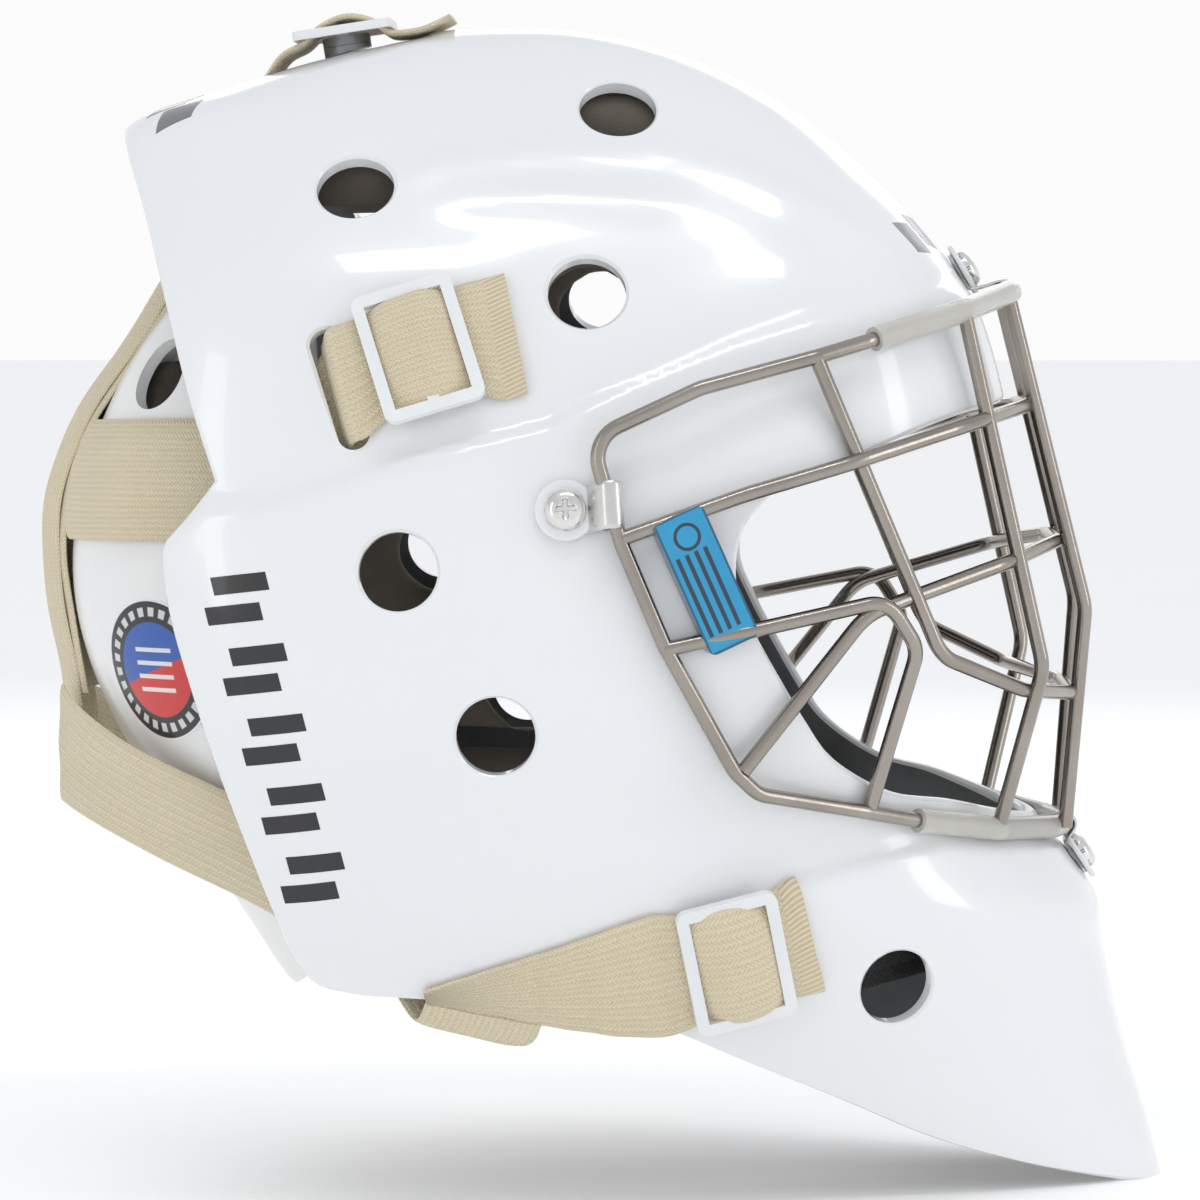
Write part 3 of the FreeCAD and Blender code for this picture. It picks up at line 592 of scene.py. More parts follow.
def cut_outline(middle, normal, along, half_length, radius, turns=56):
    """A closed tool: a circle, or two half circles joined by straight runs, carried through the profile."""
    along = unit(along - normal * np.dot(along, normal))
    beside = np.cross(normal, along)
    turn = np.linspace(0, 2 * np.pi, turns, endpoint=False)[None, :, None]
    depth, extra = [np.array(column)[:, None, None] for column in zip(*CUT_PROFILE)]
    reach = radius + extra
    forwards = np.sign(np.cos(turn)) * half_length + np.cos(turn) * reach
    return middle + along * forwards + beside * np.sin(turn) * reach + normal * depth


def tool_object(rings):
    """The tool as a mesh object, with a point in the middle of each end."""
    rows, columns = rings.shape[:2]
    faces = grid_faces(rows, columns, loop_columns=True)
    points = np.concatenate([rings.reshape(-1, 3), rings[0].mean(0)[None], rings[-1].mean(0)[None]])
    ring = np.arange(columns)
    caps = [np.stack([np.full(columns, rows * columns + end), ring + start, (ring + 1) % columns + start], -1)
            for end, start in ((0, 0), (1, (rows - 1) * columns))]
    mesh = bpy.data.meshes.new("tool")
    mesh.from_pydata(points.tolist(), [], faces.tolist() + np.concatenate(caps).tolist())
    shape = bmesh.new()
    shape.from_mesh(mesh)
    bmesh.ops.scale(shape, vec=(MM, MM, MM), verts=shape.verts)
    bmesh.ops.recalc_face_normals(shape, faces=shape.faces)
    shape.to_mesh(mesh)
    shape.free()
    mesh.materials.append(gloss_white.material)
    tool = bpy.data.objects.new("tool", mesh)
    bpy.context.scene.collection.objects.link(tool)
    return tool


def settle(piece):
    """The piece's modifiers worked into its mesh."""
    bpy.context.view_layer.update()
    mesh = bpy.data.meshes.new_from_object(piece.evaluated_get(bpy.context.evaluated_depsgraph_get()))
    piece.modifiers.clear()
    piece.data = mesh
    return mesh


def cut_vents(piece):
    """Every vent and slot cut from the piece: the same tools on both sides, and one at the top."""
    tools = []
    for _, mirror in SIDES:
        for spot in SIDE_VENTS:
            middle, normal = side_frame(*spot, mirror)
            tools.append(cut_outline(middle, normal, np.array([1.0, 0, 0]), 0, VENT / 2))
        (x0, z0), (x1, z1) = SIDE_SLOT
        ends = [side_frame(x0, z0, mirror)[0], side_frame(x1, z1, mirror)[0]]
        middle, normal = side_frame((x0 + x1) / 2, (z0 + z1) / 2, mirror)
        tools.append(cut_outline(middle, normal, ends[1] - ends[0], np.linalg.norm(ends[1] - ends[0]) / 2,
                                 SLOT_WIDTH / 2))
    top = shell_skin(np.array([TOP_SLOT_X, 0.0, TOP_SLOT_HEIGHT]))
    tools.append(cut_outline(top, shell_normals(onto_shell(top)), np.array([0, 1.0, 0]),
                             (TOP_SLOT_LENGTH - TOP_SLOT_WIDTH) / 2, TOP_SLOT_WIDTH / 2))
    made = [tool_object(tool) for tool in tools]
    for tool in made:
        cut = piece.modifiers.new("vent", "BOOLEAN")
        cut.operation, cut.solver, cut.object = "DIFFERENCE", "MANIFOLD", tool
    mesh = settle(piece)
    for tool in made:
        bpy.data.objects.remove(tool)
    mesh.shade_smooth()
    mesh.set_sharp_from_angle(angle=math.radians(SHELL_CORNER))
    print("shell with", len(tools), "holes:", len(mesh.polygons), "faces")


cut_vents(shell)
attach(shell, "mask")
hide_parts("shell")

# %% [markdown]
# ## Elastic webbing
# The straps are knitted elastic: rows of small loops that lean left and right in turn, like a herringbone. The
# pattern follows the strap's own length and width, which each strap's UV map holds in millimetres. The last few
# millimetres before a tail's end are bound with thread, in close ridges across the strap.

# %% Elastic finish
elastic = Finish("beige_elastic", Roughness=0.9, Sheen_Weight=0.25, Sheen_Roughness=0.5)
along_strap, across_strap = elastic.weave_place()
RIB, LOOP, BINDING, THREAD = 1.5, 1.15, 6.0, 1.1  # mm: a rib, a loop, the length of the binding, a thread
lean = ((across_strap * (0.5 / RIB)).fraction() - 0.5).size() * 2.0
loops = (along_strap * (1 / LOOP) + lean * 1.6).wave()
ribs = (across_strap * (1 / RIB)).wave()
grain = elastic.noise(1500.0, 3, 0.7)
knit = loops * 0.5 + ribs * 0.3 + grain * 0.6
bound = along_strap.below(BINDING, 0.5)
thread = (across_strap * (1 / THREAD) + along_strap * 0.12).wave()
surface = knit * (1 - bound) + (thread * 0.9 + grain * 0.4) * bound
cloth_colour = elastic.mix(surface * 0.75, rgb(0.52, 0.42, 0.25), rgb(0.88, 0.78, 0.57))
worn = elastic.mix(elastic.noise(30.0, 3) * 0.35, cloth_colour, rgb(0.84, 0.77, 0.60))
elastic.connect(Base_Color=worn)
elastic.bump(surface, 0.00035)
WEB, WEB_THICK = 32.0, 2.0
NO_TAIL = 200.0  # a start for the length of a strap with no tail, which is past the binding
ROUNDING = 6  # the exponent that keeps the thinning close to the selvedges


def new_strap(name, grid, facing, thickness=WEB_THICK, finish=elastic, tail=False, crown=0.35):
    """A strap over its underside's grid, with the long way as rows: the top is the grid raised by the thickness,
    less towards both selvedges, and a mid line rounds each edge. A tail ends at the first row.
    """
    normal = normals_of(grid)
    if np.sum(normal * facing) < 0:
        normal = -normal
    rows, columns = grid.shape[:2]
    selvedge = np.abs(np.linspace(-1, 1, columns)[None, :, None]) ** ROUNDING
    upper = grid + normal * thickness * (1 - crown * selvedge)
    lower = grid + normal * thickness * crown * 0.5 * selvedge
    edge = thickness * 0.3
    right = (lower[:, -1] + upper[:, -1]) / 2 + unit(grid[:, -1] - grid[:, -2]) * edge
    left = (lower[:, 0] + upper[:, 0]) / 2 + unit(grid[:, 0] - grid[:, 1]) * edge
    ring = np.concatenate([lower, right[:, None], upper[:, ::-1], left[:, None]], 1)
    long = lengths_along(grid[:, columns // 2]) + (0 if tail else NO_TAIL)
    width = np.linalg.norm(grid[:, -1] - grid[:, 0], axis=-1).mean()
    wide = np.linspace(0, 1, columns) * width
    wide = np.concatenate([wide, [width + edge], wide[::-1], [-edge]])
    weave = np.stack(np.broadcast_arrays(long[:, None], wide[None, :]), -1)
    count = ring.shape[1]
    faces = grid_faces(rows, count, loop_columns=True).tolist()
    low = np.arange(columns - 1)
    high = count - 2 - low  # the point over each point of the underside
    for base in (0, (rows - 1) * count):
        faces += (base + np.stack([low, low + 1, high - 1, high], -1)).tolist()
        faces.append([base + columns - 1, base + columns, base + columns + 1])
        faces.append([base, base + count - 2, base + count - 1])
    return new_piece(name, ring, np.array(faces, dtype=object), finish, weave=weave, corner=55)


def curved_grid(line, steps, columns, side):
    """Rows of points across a line: each row runs half the width either way along the side direction."""
    share = np.linspace(-0.5, 0.5, columns)[None, :, None]
    return smooth_line(line, steps)[:, None] + np.array(side)[None, None] * share


print("elastic", WEB, "mm wide and", WEB_THICK, "mm thick, with ribs every", RIB, "mm")

# %% [markdown]
# ## Side and jaw straps
# Each strap comes out of the shell, passes under the first bar of its slide, over the middle one and under the
# last, and ends in a bound tail. Its height over the shell is a low value with one hump at the slide.

# %% Straps over the shell
# Lower and upper edges in the side view, from the tail to the slot or the jaw's edge.
SIDE_STRAP = (((3.3, 53.0), (-20, 46.6), (-43.6, 39.8)), ((-3.2, 82.8), (-26, 76.0), (-51.2, 67.6)))
JAW_STRAP = (((80.0, -103.2), (60, -109.8), (38, -115.0), (8, -112.0), (-23, -106.2)),
             ((72.5, -74.2), (38, -82.2), (8, -92.5), (-24, -103.0)))
DIVE_SHARE, DIVE, PINCH = 0.07, 9.0, 0.12
SIDE_GLIDE, SIDE_ANGLE = (-24.9, 62.5), 16.8
JAW_GLIDE, JAW_ANGLE = (56.5, -94.5), 13.7
HUMP_HALF, HUMP_TOP, STRAP_LIFT = 10.2, 5.9, 0.7  # mm: the hump's half length and height, and the strap's lift
PINCH_HALF, PINCH_RUN = 10, 10  # mm either way along the strap: narrowed all the way, then eased back
STRAP_KINDS = (("side", SIDE_STRAP, SIDE_GLIDE, SIDE_ANGLE, (-45.6, 54.2)),
               ("jaw", JAW_STRAP, JAW_GLIDE, JAW_ANGLE, (-18.0, -103.5)))


def over_shell(edges, glide, angle, mirror, dives, steps=120, columns=23):
    """Underside of a strap between two side-view edges, tail first. One that dives turns down into its slot."""
    along = np.linspace(0, 1, steps)
    across = np.linspace(0, 1, columns)[None, :, None]
    low, high = [curve_through(edge, steps)[np.round(along * steps * (len(edge) - 1)).astype(int)]
                 for edge in edges]
    slope = math.radians(angle)
    ahead = (low + high) / 2 - np.array(glide)
    inside = np.abs(ahead @ np.array([math.cos(slope), math.sin(slope)]))[:, None, None]
    pinch = PINCH * (1 - ease((inside - PINCH_HALF) / PINCH_RUN))
    across = 0.5 + (across - 0.5) * (1 - pinch)
    flat = low[:, None] * (1 - across) + high[:, None] * across
    drop = pinch[..., 0] / PINCH * -(ahead @ np.array([-math.sin(slope), math.cos(slope)]))[:, None]
    flat[..., 0] -= drop * math.sin(slope)
    flat[..., 1] += drop * math.cos(slope)
    x, z = flat[..., 0], flat[..., 1]
    past = ((x - glide[0]) * math.cos(slope) + (z - glide[1]) * math.sin(slope)) / HUMP_HALF
    share = np.linspace(-1, 1, columns)[None, :]
    hump = HUMP_TOP * np.maximum(1 - np.abs(past) ** 2.4, 0) ** 0.75 * (1 - 0.16 * np.abs(share) ** 4)
    ripple = 0.16 * np.sin(x * 0.55 + z * 0.11) + 0.12 * np.sin(z * 0.35)
    sink = DIVE * dives * ease((along[:, None] - 1 + DIVE_SHARE) / DIVE_SHARE)
    plain = np.stack([x, mirror * side_of(x, z), z], -1)
    return shell_skin(plain, STRAP_LIFT + hump + ripple - sink)


for side_name, mirror in SIDES:
    for kind, edges, glide, angle, slot_end in STRAP_KINDS:
        grid = over_shell(edges, glide, angle, mirror, kind == "side")
        strap = new_strap(f"{kind}_strap_{side_name}_web", grid, np.array([0, mirror, 0]), tail=True)
        slot_point = side_frame(*slot_end, mirror)[0] * MM
        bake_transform(strap)
        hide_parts(f"{kind}_strap_{side_name}")

# %% [markdown]
# ## Top strap
# One strip comes up through the rear slot, under the slide's rear bar, over the middle one and down under the front
# bar, and its free tail curls down and up again.

# %% Top strap
TOP_LINE = ((-20.5, 0, 153.0), (-24, 0, 151.2), (-28.5, 0, 149.4), (-33, 0, 148.6), (-37.8, 0, 148.6),
            (-42.5, 0, 151.6), (-49.0, 0, 152.9), (-55.8, 0, 150.2), (-61.2, 0, 145.2), (-66.0, 0, 142.6),
            (-69.8, 0, 137.4), (-74.5, 0, 131.0), (-77.0, 0, 127.5))
grid = curved_grid(TOP_LINE, 120, 19, (0, WEB, 0))
top_strap = new_strap("top_strap_web", grid, np.array([0, 0, 1.0]), tail=True)
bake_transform(top_strap)
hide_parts("top_strap", "top_strap_tail")

# %% [markdown]
# ## Straps round the backplate
# The upper band wraps the backplate, a wide vertical strap runs down its middle, and two lower straps run from it
# down to the jaw. The backplate is its own stack of superellipses, so a band is that formula plus a small gap.

# %% Backplate straps
BACK_SECTIONS = np.array([  # height, rearmost reach, half width
    (-112, 62, 60), (-98, 73, 67), (-66, 95, 75), (-44, 110, 79), (-20, 121, 81), (0, 125, 82),
    (22, 123.5, 82), (44, 117, 80), (66, 105, 77), (84, 92, 72)])
BACK_POWER = 2.5


def around_back(angle, z, lift):
    """Points round the backplate: the angle is from straight behind, and the lift is outwards."""
    rear = smooth_between(BACK_SECTIONS[:, 0], BACK_SECTIONS[:, 1], z) + lift
    side = smooth_between(BACK_SECTIONS[:, 0], BACK_SECTIONS[:, 2], z) + lift
    squares = np.abs(np.cos(angle) / rear) ** BACK_POWER + np.abs(np.sin(angle) / side) ** BACK_POWER
    radius = squares ** (-1 / BACK_POWER)
    return np.stack([-radius * np.cos(angle), radius * np.sin(angle), z], -1)


def bilinear(corners, along, across):
    """A patch between four corners: the first pair and the second pair are joined along, and those lines across."""
    a, b, c, d = [np.array(corner, float) for corner in corners]
    return (a * (1 - along) + b * along) * (1 - across) + (c * (1 - along) + d * along) * across


BAND_END, BAND_LOW, BAND_HIGH, BAND_LIFT = 0.87, 12.5, 43.5, 0.6
angle, z = np.meshgrid(np.linspace(-BAND_END, BAND_END, 150), np.linspace(BAND_LOW, BAND_HIGH, 21), indexing="ij")
sag = 0.9 * np.sin((z - 12) / 32 * np.pi) + 0.25 * np.sin(angle * 23) + 0.2 * np.sin(z * 0.5 + angle * 9)
z = z + 1.2 * np.sin(angle * 2.1) ** 2
band = new_strap("upper_rear_strap_web", around_back(angle, z, BAND_LIFT + sag), around_back(angle, z * 0, 1.0))
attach(band, "backplate")
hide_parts("upper_rear_strap")

REAR_LINE = ((-123, 0, -60), (-126.7, 0, -30), (-130, 0, -11), (-132.6, 0, 11), (-127.5, 0, 37), (-112, 0, 62),
             (-99, 0, 82))
grid = curved_grid(REAR_LINE, 120, 21, (0, WEB, 0))
share = np.linspace(-1, 1, 21)[None, :]
grid[..., 0] += 5.0 * share ** 2 + 0.3 * np.sin(grid[..., 2] * 0.21)
rear_strap = new_strap("rear_strap_web", grid, np.array([-1.0, 0, 0]))
UNDER_GAP, UNDER_WIDER = 2.9, 1.12
under = curved_grid([(x + UNDER_GAP, y, z) for x, y, z in REAR_LINE[1:]], 100, 21, (0, WEB, 0))
under[..., 0] += 4.4 * share ** 2
under[..., 1] *= UNDER_WIDER
under_strap = new_strap("rear_strap_under_web", under, np.array([-1.0, 0, 0]))
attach(under_strap, "backplate")
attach(rear_strap, "backplate")
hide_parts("rear_strap")

LOWER_CORNERS = ((0.15, -28), (0.86, -62), (0.15, -59), (0.80, -92))  # angle and Z: rear, jaw, rear, jaw
LOWER_STAND, STRAP_REAR = 1.8, 125.0
for side_name, mirror in SIDES:
    along = np.linspace(0, 1, 90)[:, None, None]
    across = np.linspace(0, 1, 21)[None, :, None]
    flat = bilinear(LOWER_CORNERS, along, across)
    clear = STRAP_REAR - smooth_between(BACK_SECTIONS[:, 0], BACK_SECTIONS[:, 1], flat[..., 1])
    stand = LOWER_STAND + clear * (1 - along[..., 0]) ** 2 + 0.2 * np.sin(flat[..., 1] * 0.4)
    grid = around_back(flat[..., 0], flat[..., 1], stand)
    grid[..., 1] *= mirror
    strap = new_strap(f"lower_rear_strap_{side_name}_web", grid, np.array([-1.0, mirror * 0.6, -0.2]))
    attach(strap, "backplate")
    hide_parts(f"lower_rear_strap_{side_name}")

# %% [markdown]
# ## Hidden stretches
# Inside the shell the side strap runs on from its slot to the upper band, and the jaw strap turns under the
# jaw's edge and up to the lower strap. These stretches reach from the mask to the backplate.

# %% Straps inside the shell
LINK_STAND, SLOT_DEPTH, JAW_LIFT = 2.2, 7.5, 0.9


def between_edges(first, second, steps=46, columns=17):
    """Rows between two smooth lines in space: each row is straight from a point of one to a point of the other."""
    first, second = smooth_line(first, steps)[:, None], smooth_line(second, steps)[:, None]
    across = np.linspace(0, 1, columns)[None, :, None]
    return first * (1 - across) + second * across


def skin_at(x, z, lift):
    """The point of the moulded shell's left side at X and Z, raised by a lift."""
    return shell_skin(np.array([x, float(side_of(np.array(float(x)), np.array(float(z)))), z]), lift)


side_edges, jaw_edges = [], []
for (slot_x, slot_z), band_z in zip(SIDE_SLOT[::-1], (13.0, 43.0)):
    end = around_back(np.array(BAND_END), np.array(band_z), LINK_STAND)
    start = skin_at(slot_x - 1.0, slot_z, -SLOT_DEPTH)
    side_edges.append([start, start * 0.6 + end * 0.4 + np.array([0, 3.0, 0]), end])
for (jaw_x, jaw_z), (jaw_angle, strap_z) in (((6, -111.5), (0.80, -91)), ((-23, -105.5), (0.86, -63))):
    end = around_back(np.array(jaw_angle - 0.02), np.array(float(strap_z)), LINK_STAND + 0.4)
    start = skin_at(jaw_x, jaw_z, JAW_LIFT)
    turn = start + np.array([-2.0, -3.5, -4.5])
    jaw_edges.append([start, turn, turn * 0.6 + end * 0.4 + np.array([0, -3.0, 0]), end])
for kind, edges in (("side", side_edges), ("jaw", jaw_edges)):
    for side_name, mirror in SIDES:
        grid = between_edges(*edges) * np.array([1, mirror, 1])
        link = new_strap(f"{kind}_strap_{side_name}_inside", grid, np.array([-0.2, mirror, -0.2]))
        start, end = grid[4].mean(0) * MM, grid[-2].mean(0) * MM
        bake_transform(link)

# %% [markdown]
# ## Foam
# The liner is cut from dense closed-cell foam with rounded corners. Each pad starts as its solid, is remeshed into
# even cells, swells a little as cloth under pressure with a cap on how far it may move, and is subdivided once.

# %% Foam finish and pads
foam = Finish("liner_foam", Sheen_Weight=0.1, Specular_IOR_Level=0.3)
cells = foam.noise(2600.0, 2, 0.6)
foam.connect(Base_Color=foam.mix(foam.noise(60.0, 4) * 0.6 + cells * 0.4, rgb(0.095, 0.08, 0.065),
                                 rgb(0.19, 0.165, 0.135)),
             Roughness=foam.noise(90.0, 2) * 0.15 + 0.75)
foam.bump(cells + foam.noise(260.0, 3) * 0.8, 0.00025)
PAD_NODES = ["forehead_pad", "crown_pad_front", "crown_pad_rear", "temple_pad_left", "temple_pad_right",
             "ear_pad_left", "ear_pad_right", "jaw_pad_left", "jaw_pad_right", "backplate_pad", "chin_cup_lining"]
VOXEL, LINING_SHARE, PAD_CAP, SHRINK, FRAMES, PRESSURE = 0.004, 0.6, 0.0012, 0.0008, 12, 4.0


def points_of(mesh):
    """The mesh's vertices as one array."""
    points = np.zeros(len(mesh.vertices) * 3)
    mesh.vertices.foreach_get("co", points)
    return points.reshape(-1, 3)


def pad_from(node):
    """A copy of a foam solid, closed, remeshed into even cells and drawn in a little along its normals."""
    mesh = nodes[node].data.copy()
    shape = bmesh.new()
    shape.from_mesh(mesh)
    bmesh.ops.remove_doubles(shape, verts=shape.verts, dist=1e-6)
    shape.to_mesh(mesh)
    shape.free()
    piece = bpy.data.objects.new(node + "_foam", mesh)
    bpy.context.scene.collection.objects.link(piece)
    remesh = piece.modifiers.new("cells", "REMESH")
    remesh.mode, remesh.voxel_size = "VOXEL", VOXEL * (LINING_SHARE if "lining" in node else 1.0)
    smooth = piece.modifiers.new("soft", "SMOOTH")
    smooth.iterations, smooth.factor = 3, 0.5
    mesh = settle(piece)
    normals = np.zeros(len(mesh.vertices) * 3)
    mesh.vertices.foreach_get("normal", normals)
    mesh.vertices.foreach_set("co", (points_of(mesh) - normals.reshape(-1, 3) * SHRINK).ravel())
    mesh.materials.clear()
    mesh.materials.append(foam.material)
    return piece


pads = {node: pad_from(node) for node in PAD_NODES}
rest = {node: points_of(pad.data) for node, pad in pads.items()}
for pad in pads.values():
    cloth = pad.modifiers.new("swell", "CLOTH")
    cloth.settings.use_pressure, cloth.settings.uniform_pressure_force = True, PRESSURE
    cloth.settings.effector_weights.gravity = 0
    cloth.settings.quality = 4
for step in range(1, FRAMES + 1):
    bpy.context.scene.frame_set(step)
for node, pad in pads.items():
    mesh = settle(pad)
    moved = points_of(mesh) - rest[node]
    far = np.maximum(np.linalg.norm(moved, axis=1, keepdims=True), 1e-9)
    mesh.vertices.foreach_set("co", (rest[node] + moved * np.minimum(1, PAD_CAP / far)).ravel())
bpy.context.scene.frame_set(1)
for node, pad in pads.items():
    finer = pad.modifiers.new("finer", "SUBSURF")
    finer.levels = finer.render_levels = 1
    mesh = settle(pad)
    mesh.shade_smooth()
    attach(pad, {"backplate_pad": "backplate", "chin_cup_lining": "chin_sling"}.get(node, "mask"))
    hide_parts(node)
print("foam pads:", sum(len(pad.data.polygons) for pad in pads.values()), "faces")

# %% [markdown]
# ## Chin sling straps
# Short black webbing runs from the studs inside the jaw to the chin cup. It is woven, so fine diagonal ribs
# follow its length.

# %% Sling straps
webbing = Finish("black_webbing", Roughness=0.7, Sheen_Weight=0.2)
long_way, wide_way = webbing.weave_place()
twill = (long_way * 0.9 + ((wide_way * 0.125).fraction() - 0.5).size() * 8).wave()
webbing.connect(Base_Color=webbing.mix(twill, rgb(0.008, 0.008, 0.009), rgb(0.035, 0.035, 0.038)))
webbing.bump(twill, 0.0003)
SLING_ANCHOR, SLING_START = np.array([80, 66, -100.0]), np.array([115.5, 27.0, -94.0])
SLING_WIDTH, SLING_THICK = 15.0, 1.5
for side_name, mirror in SIDES:
    flip = np.array([1, mirror, 1])
    run = SLING_ANCHOR - SLING_START
    up = np.array([run[1], -run[0], 0]) / np.hypot(run[0], run[1])
    wide = np.cross(up, unit(run))
    share = np.linspace(0, 1, 40)[:, None]
    line = SLING_START + run * share + up * (0.4 + 1.2 * np.sin(share * np.pi))
    grid = line[:, None] + wide * np.linspace(-0.5, 0.5, 15)[None, :, None] * SLING_WIDTH
    strap = new_strap(f"chin_strap_{side_name}_web", grid * flip, up * flip, SLING_THICK, webbing)
    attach(strap, "chin_sling")
    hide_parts(f"chin_strap_{side_name}")

# %% [markdown]
# ## Printed marks
# The shell carries plain printed bars: ten black ones down the rear of each ear panel, and short grey ones at the
# forehead and the rear of the crown. Ink is a film, so each bar is a thin patch that follows the shell.

# %% Printed bars
ink = Finish("black_ink", Coat_Weight=0.4, Coat_Roughness=0.1).toned(
    (300.0, 3, (0.006, 0.006, 0.007), (0.016, 0.016, 0.018)), (60.0, 2, 0.1, 0.25))
grey_ink = Finish("grey_ink", Coat_Weight=0.4, Coat_Roughness=0.1).toned(
    (300.0, 3, (0.15, 0.15, 0.155), (0.20, 0.20, 0.205)), (60.0, 2, 0.1, 0.3))
INK_LIFT, INK_THICK = 0.06, 0.12
BAR_PAIRS, BAR_LENGTH, BAR_HEIGHT = 5, 14.5, 4.6


def ink_patch(corners, mirror, steps=14):
    """Two grids of points for a film between four corners, its underside and its top."""
    share = np.linspace(0, 1, steps)
    flat = bilinear(corners, share[:, None, None], share[None, :, None])
    flat[..., 1] = flat[..., 1] * mirror
    return shell_skin(flat, INK_LIFT - INK_THICK), shell_skin(flat, INK_LIFT)


def printed(name, patches, finish):
    """All patches as one piece: each is closed by its underside, its top and a wall round both."""
    points, faces, count = [], [], 0
    for lower, upper in patches:
        rows, columns = lower.shape[:2]
        sheet = grid_faces(rows, columns)
        index = np.arange(rows * columns).reshape(rows, columns)
        rim = np.concatenate([index[0], index[1:, -1], index[-1, -2::-1], index[-2:0:-1, 0]])
        walls = np.stack([rim, np.roll(rim, -1), np.roll(rim, -1) + rows * columns, rim + rows * columns], -1)
        faces.append(np.concatenate([sheet, sheet + rows * columns, walls]) + count)
        points.append(np.concatenate([lower.reshape(-1, 3), upper.reshape(-1, 3)]))
        count += 2 * rows * columns
    piece = new_piece(name, np.concatenate(points), np.concatenate(faces), finish, corner=60)
    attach(piece, "mask")
    return piece


def side_bar(x, z, width, height, mirror, lean=0.25):
    """Corners of a slanted bar on the shell's side."""
    corners = []
    for up in (-0.5, 0.5):
        for ahead in (-0.5, 0.5):
            px, pz = x + ahead * width - up * height * lean, z + up * height + ahead * width * 0.12
            corners.append((px, float(side_of(np.array(px), np.array(pz))), pz))
    return ink_patch(corners, mirror)


for side_name, mirror in SIDES:
    bars = []
    for place in range(BAR_PAIRS):
        x, z = -71.5 + 4.7 * place, -0.5 - 18.2 * place
        bars += [side_bar(x + 0.8, z + 3.9, BAR_LENGTH, BAR_HEIGHT, mirror),
                 side_bar(x - 0.8, z - 3.9, BAR_LENGTH, BAR_HEIGHT, mirror)]
    printed(f"panel_bars_{side_name}", bars, ink)
    marks = [ink_patch(((100, 20 + k, 95), (96, 29 + k, 95), (104, 20 + k, 85), (100, 29 + k, 85)), mirror)
             for k in (0, 12)]
    marks += [ink_patch(((-99, 16 + k, 130), (-88, 16 + k, 133), (-101, 26 + k, 124), (-90, 26 + k, 127)), mirror)
              for k in (0, 13)]
    printed(f"crown_marks_{side_name}", marks, grey_ink)

# %% [markdown]
# ## Finishes of the hard parts
# The wire cage, fasteners, slides, cup and backplate keep their solids. Each gets its own finish: drawn and
# polished wire with faint lengthwise marks, brighter pressed steel for the clips, clear vinyl for the rim sleeves
# and moulded plastic for the rest.

# %% Hard finishes
wire = Finish("polished_wire", Metallic=1.0)
streaks = wire.noise(500.0, 4, 0.7)
wire.connect(Base_Color=wire.mix(wire.noise(35.0, 3), rgb(0.27, 0.24, 0.212), rgb(0.46, 0.42, 0.375)),
             Roughness=streaks * 0.16 + 0.14)
wire.bump(streaks, 0.00003)

pressed = Finish("pressed_steel", Metallic=1.0).toned(
    (200.0, 3, (0.62, 0.61, 0.59), (0.78, 0.77, 0.75)), (900.0, 3, 0.2, 0.2), (900.0, 2, 0.00003))
plated = Finish("plated_screw", Metallic=1.0).toned(
    (300.0, 2, (0.70, 0.69, 0.67), (0.86, 0.85, 0.83)), (700.0, 3, 0.12, 0.12))
vinyl = Finish("clear_vinyl", Transmission_Weight=0.6, IOR=1.4).toned(
    (150.0, 3, (0.93, 0.91, 0.84), (0.98, 0.97, 0.93)), (120.0, 2, 0.15, 0.12))
nylon = Finish("white_nylon", Subsurface_Weight=0.05).toned(
    (80.0, 3, (0.80, 0.81, 0.82), (0.88, 0.885, 0.89)), (200.0, 3, 0.15, 0.28), (900.0, 2, 0.00004))
back_white = Finish("backplate_white", Coat_Weight=0.2, Coat_Roughness=0.15).toned(
    (25.0, 3, (0.80, 0.80, 0.79), (0.86, 0.86, 0.85)), (50.0, 3, 0.12, 0.26), (400.0, 2, 0.00004))
black = Finish("black_plastic").toned(
    (120.0, 3, (0.012, 0.012, 0.013), (0.03, 0.03, 0.032)), (200.0, 3, 0.2, 0.35), (1200.0, 2, 0.00005))
stud_grey = Finish("stud_grey", Metallic=0.35).toned(
    (200.0, 3, (0.30, 0.31, 0.33), (0.42, 0.43, 0.45)), (300.0, 3, 0.15, 0.25))
print(len(bpy.data.materials), "finishes so far")

# %% [markdown]
# ## Screws, washers and clips
# Four pan-head screws with a cross recess hold the cage. Each presses a white washer on a steel clip, whose strip
# runs to the rim and curls round it. A head is a square grid pressed into a disc, so that the recess can follow
# its rows; a clip is a strip along a path in the plane of its screw.

# %% Cage fasteners
HEAD_RADIUS, HEAD_RISE, CLIP_WIDTH, CLIP_THICK, WIRE_RADIUS = 5.5, 3.0, 12.0, 1.1, 2.0
WASHER_RADIUS, WASHER_THICK, WASHER_BORE = 8.0, 1.5, 2.6
RECESS, RECESS_REACH, RECESS_DEPTH = 0.62, 2.9, 1.5
CURL_START, CURL_END = 105, -150  # degrees round the rim wire


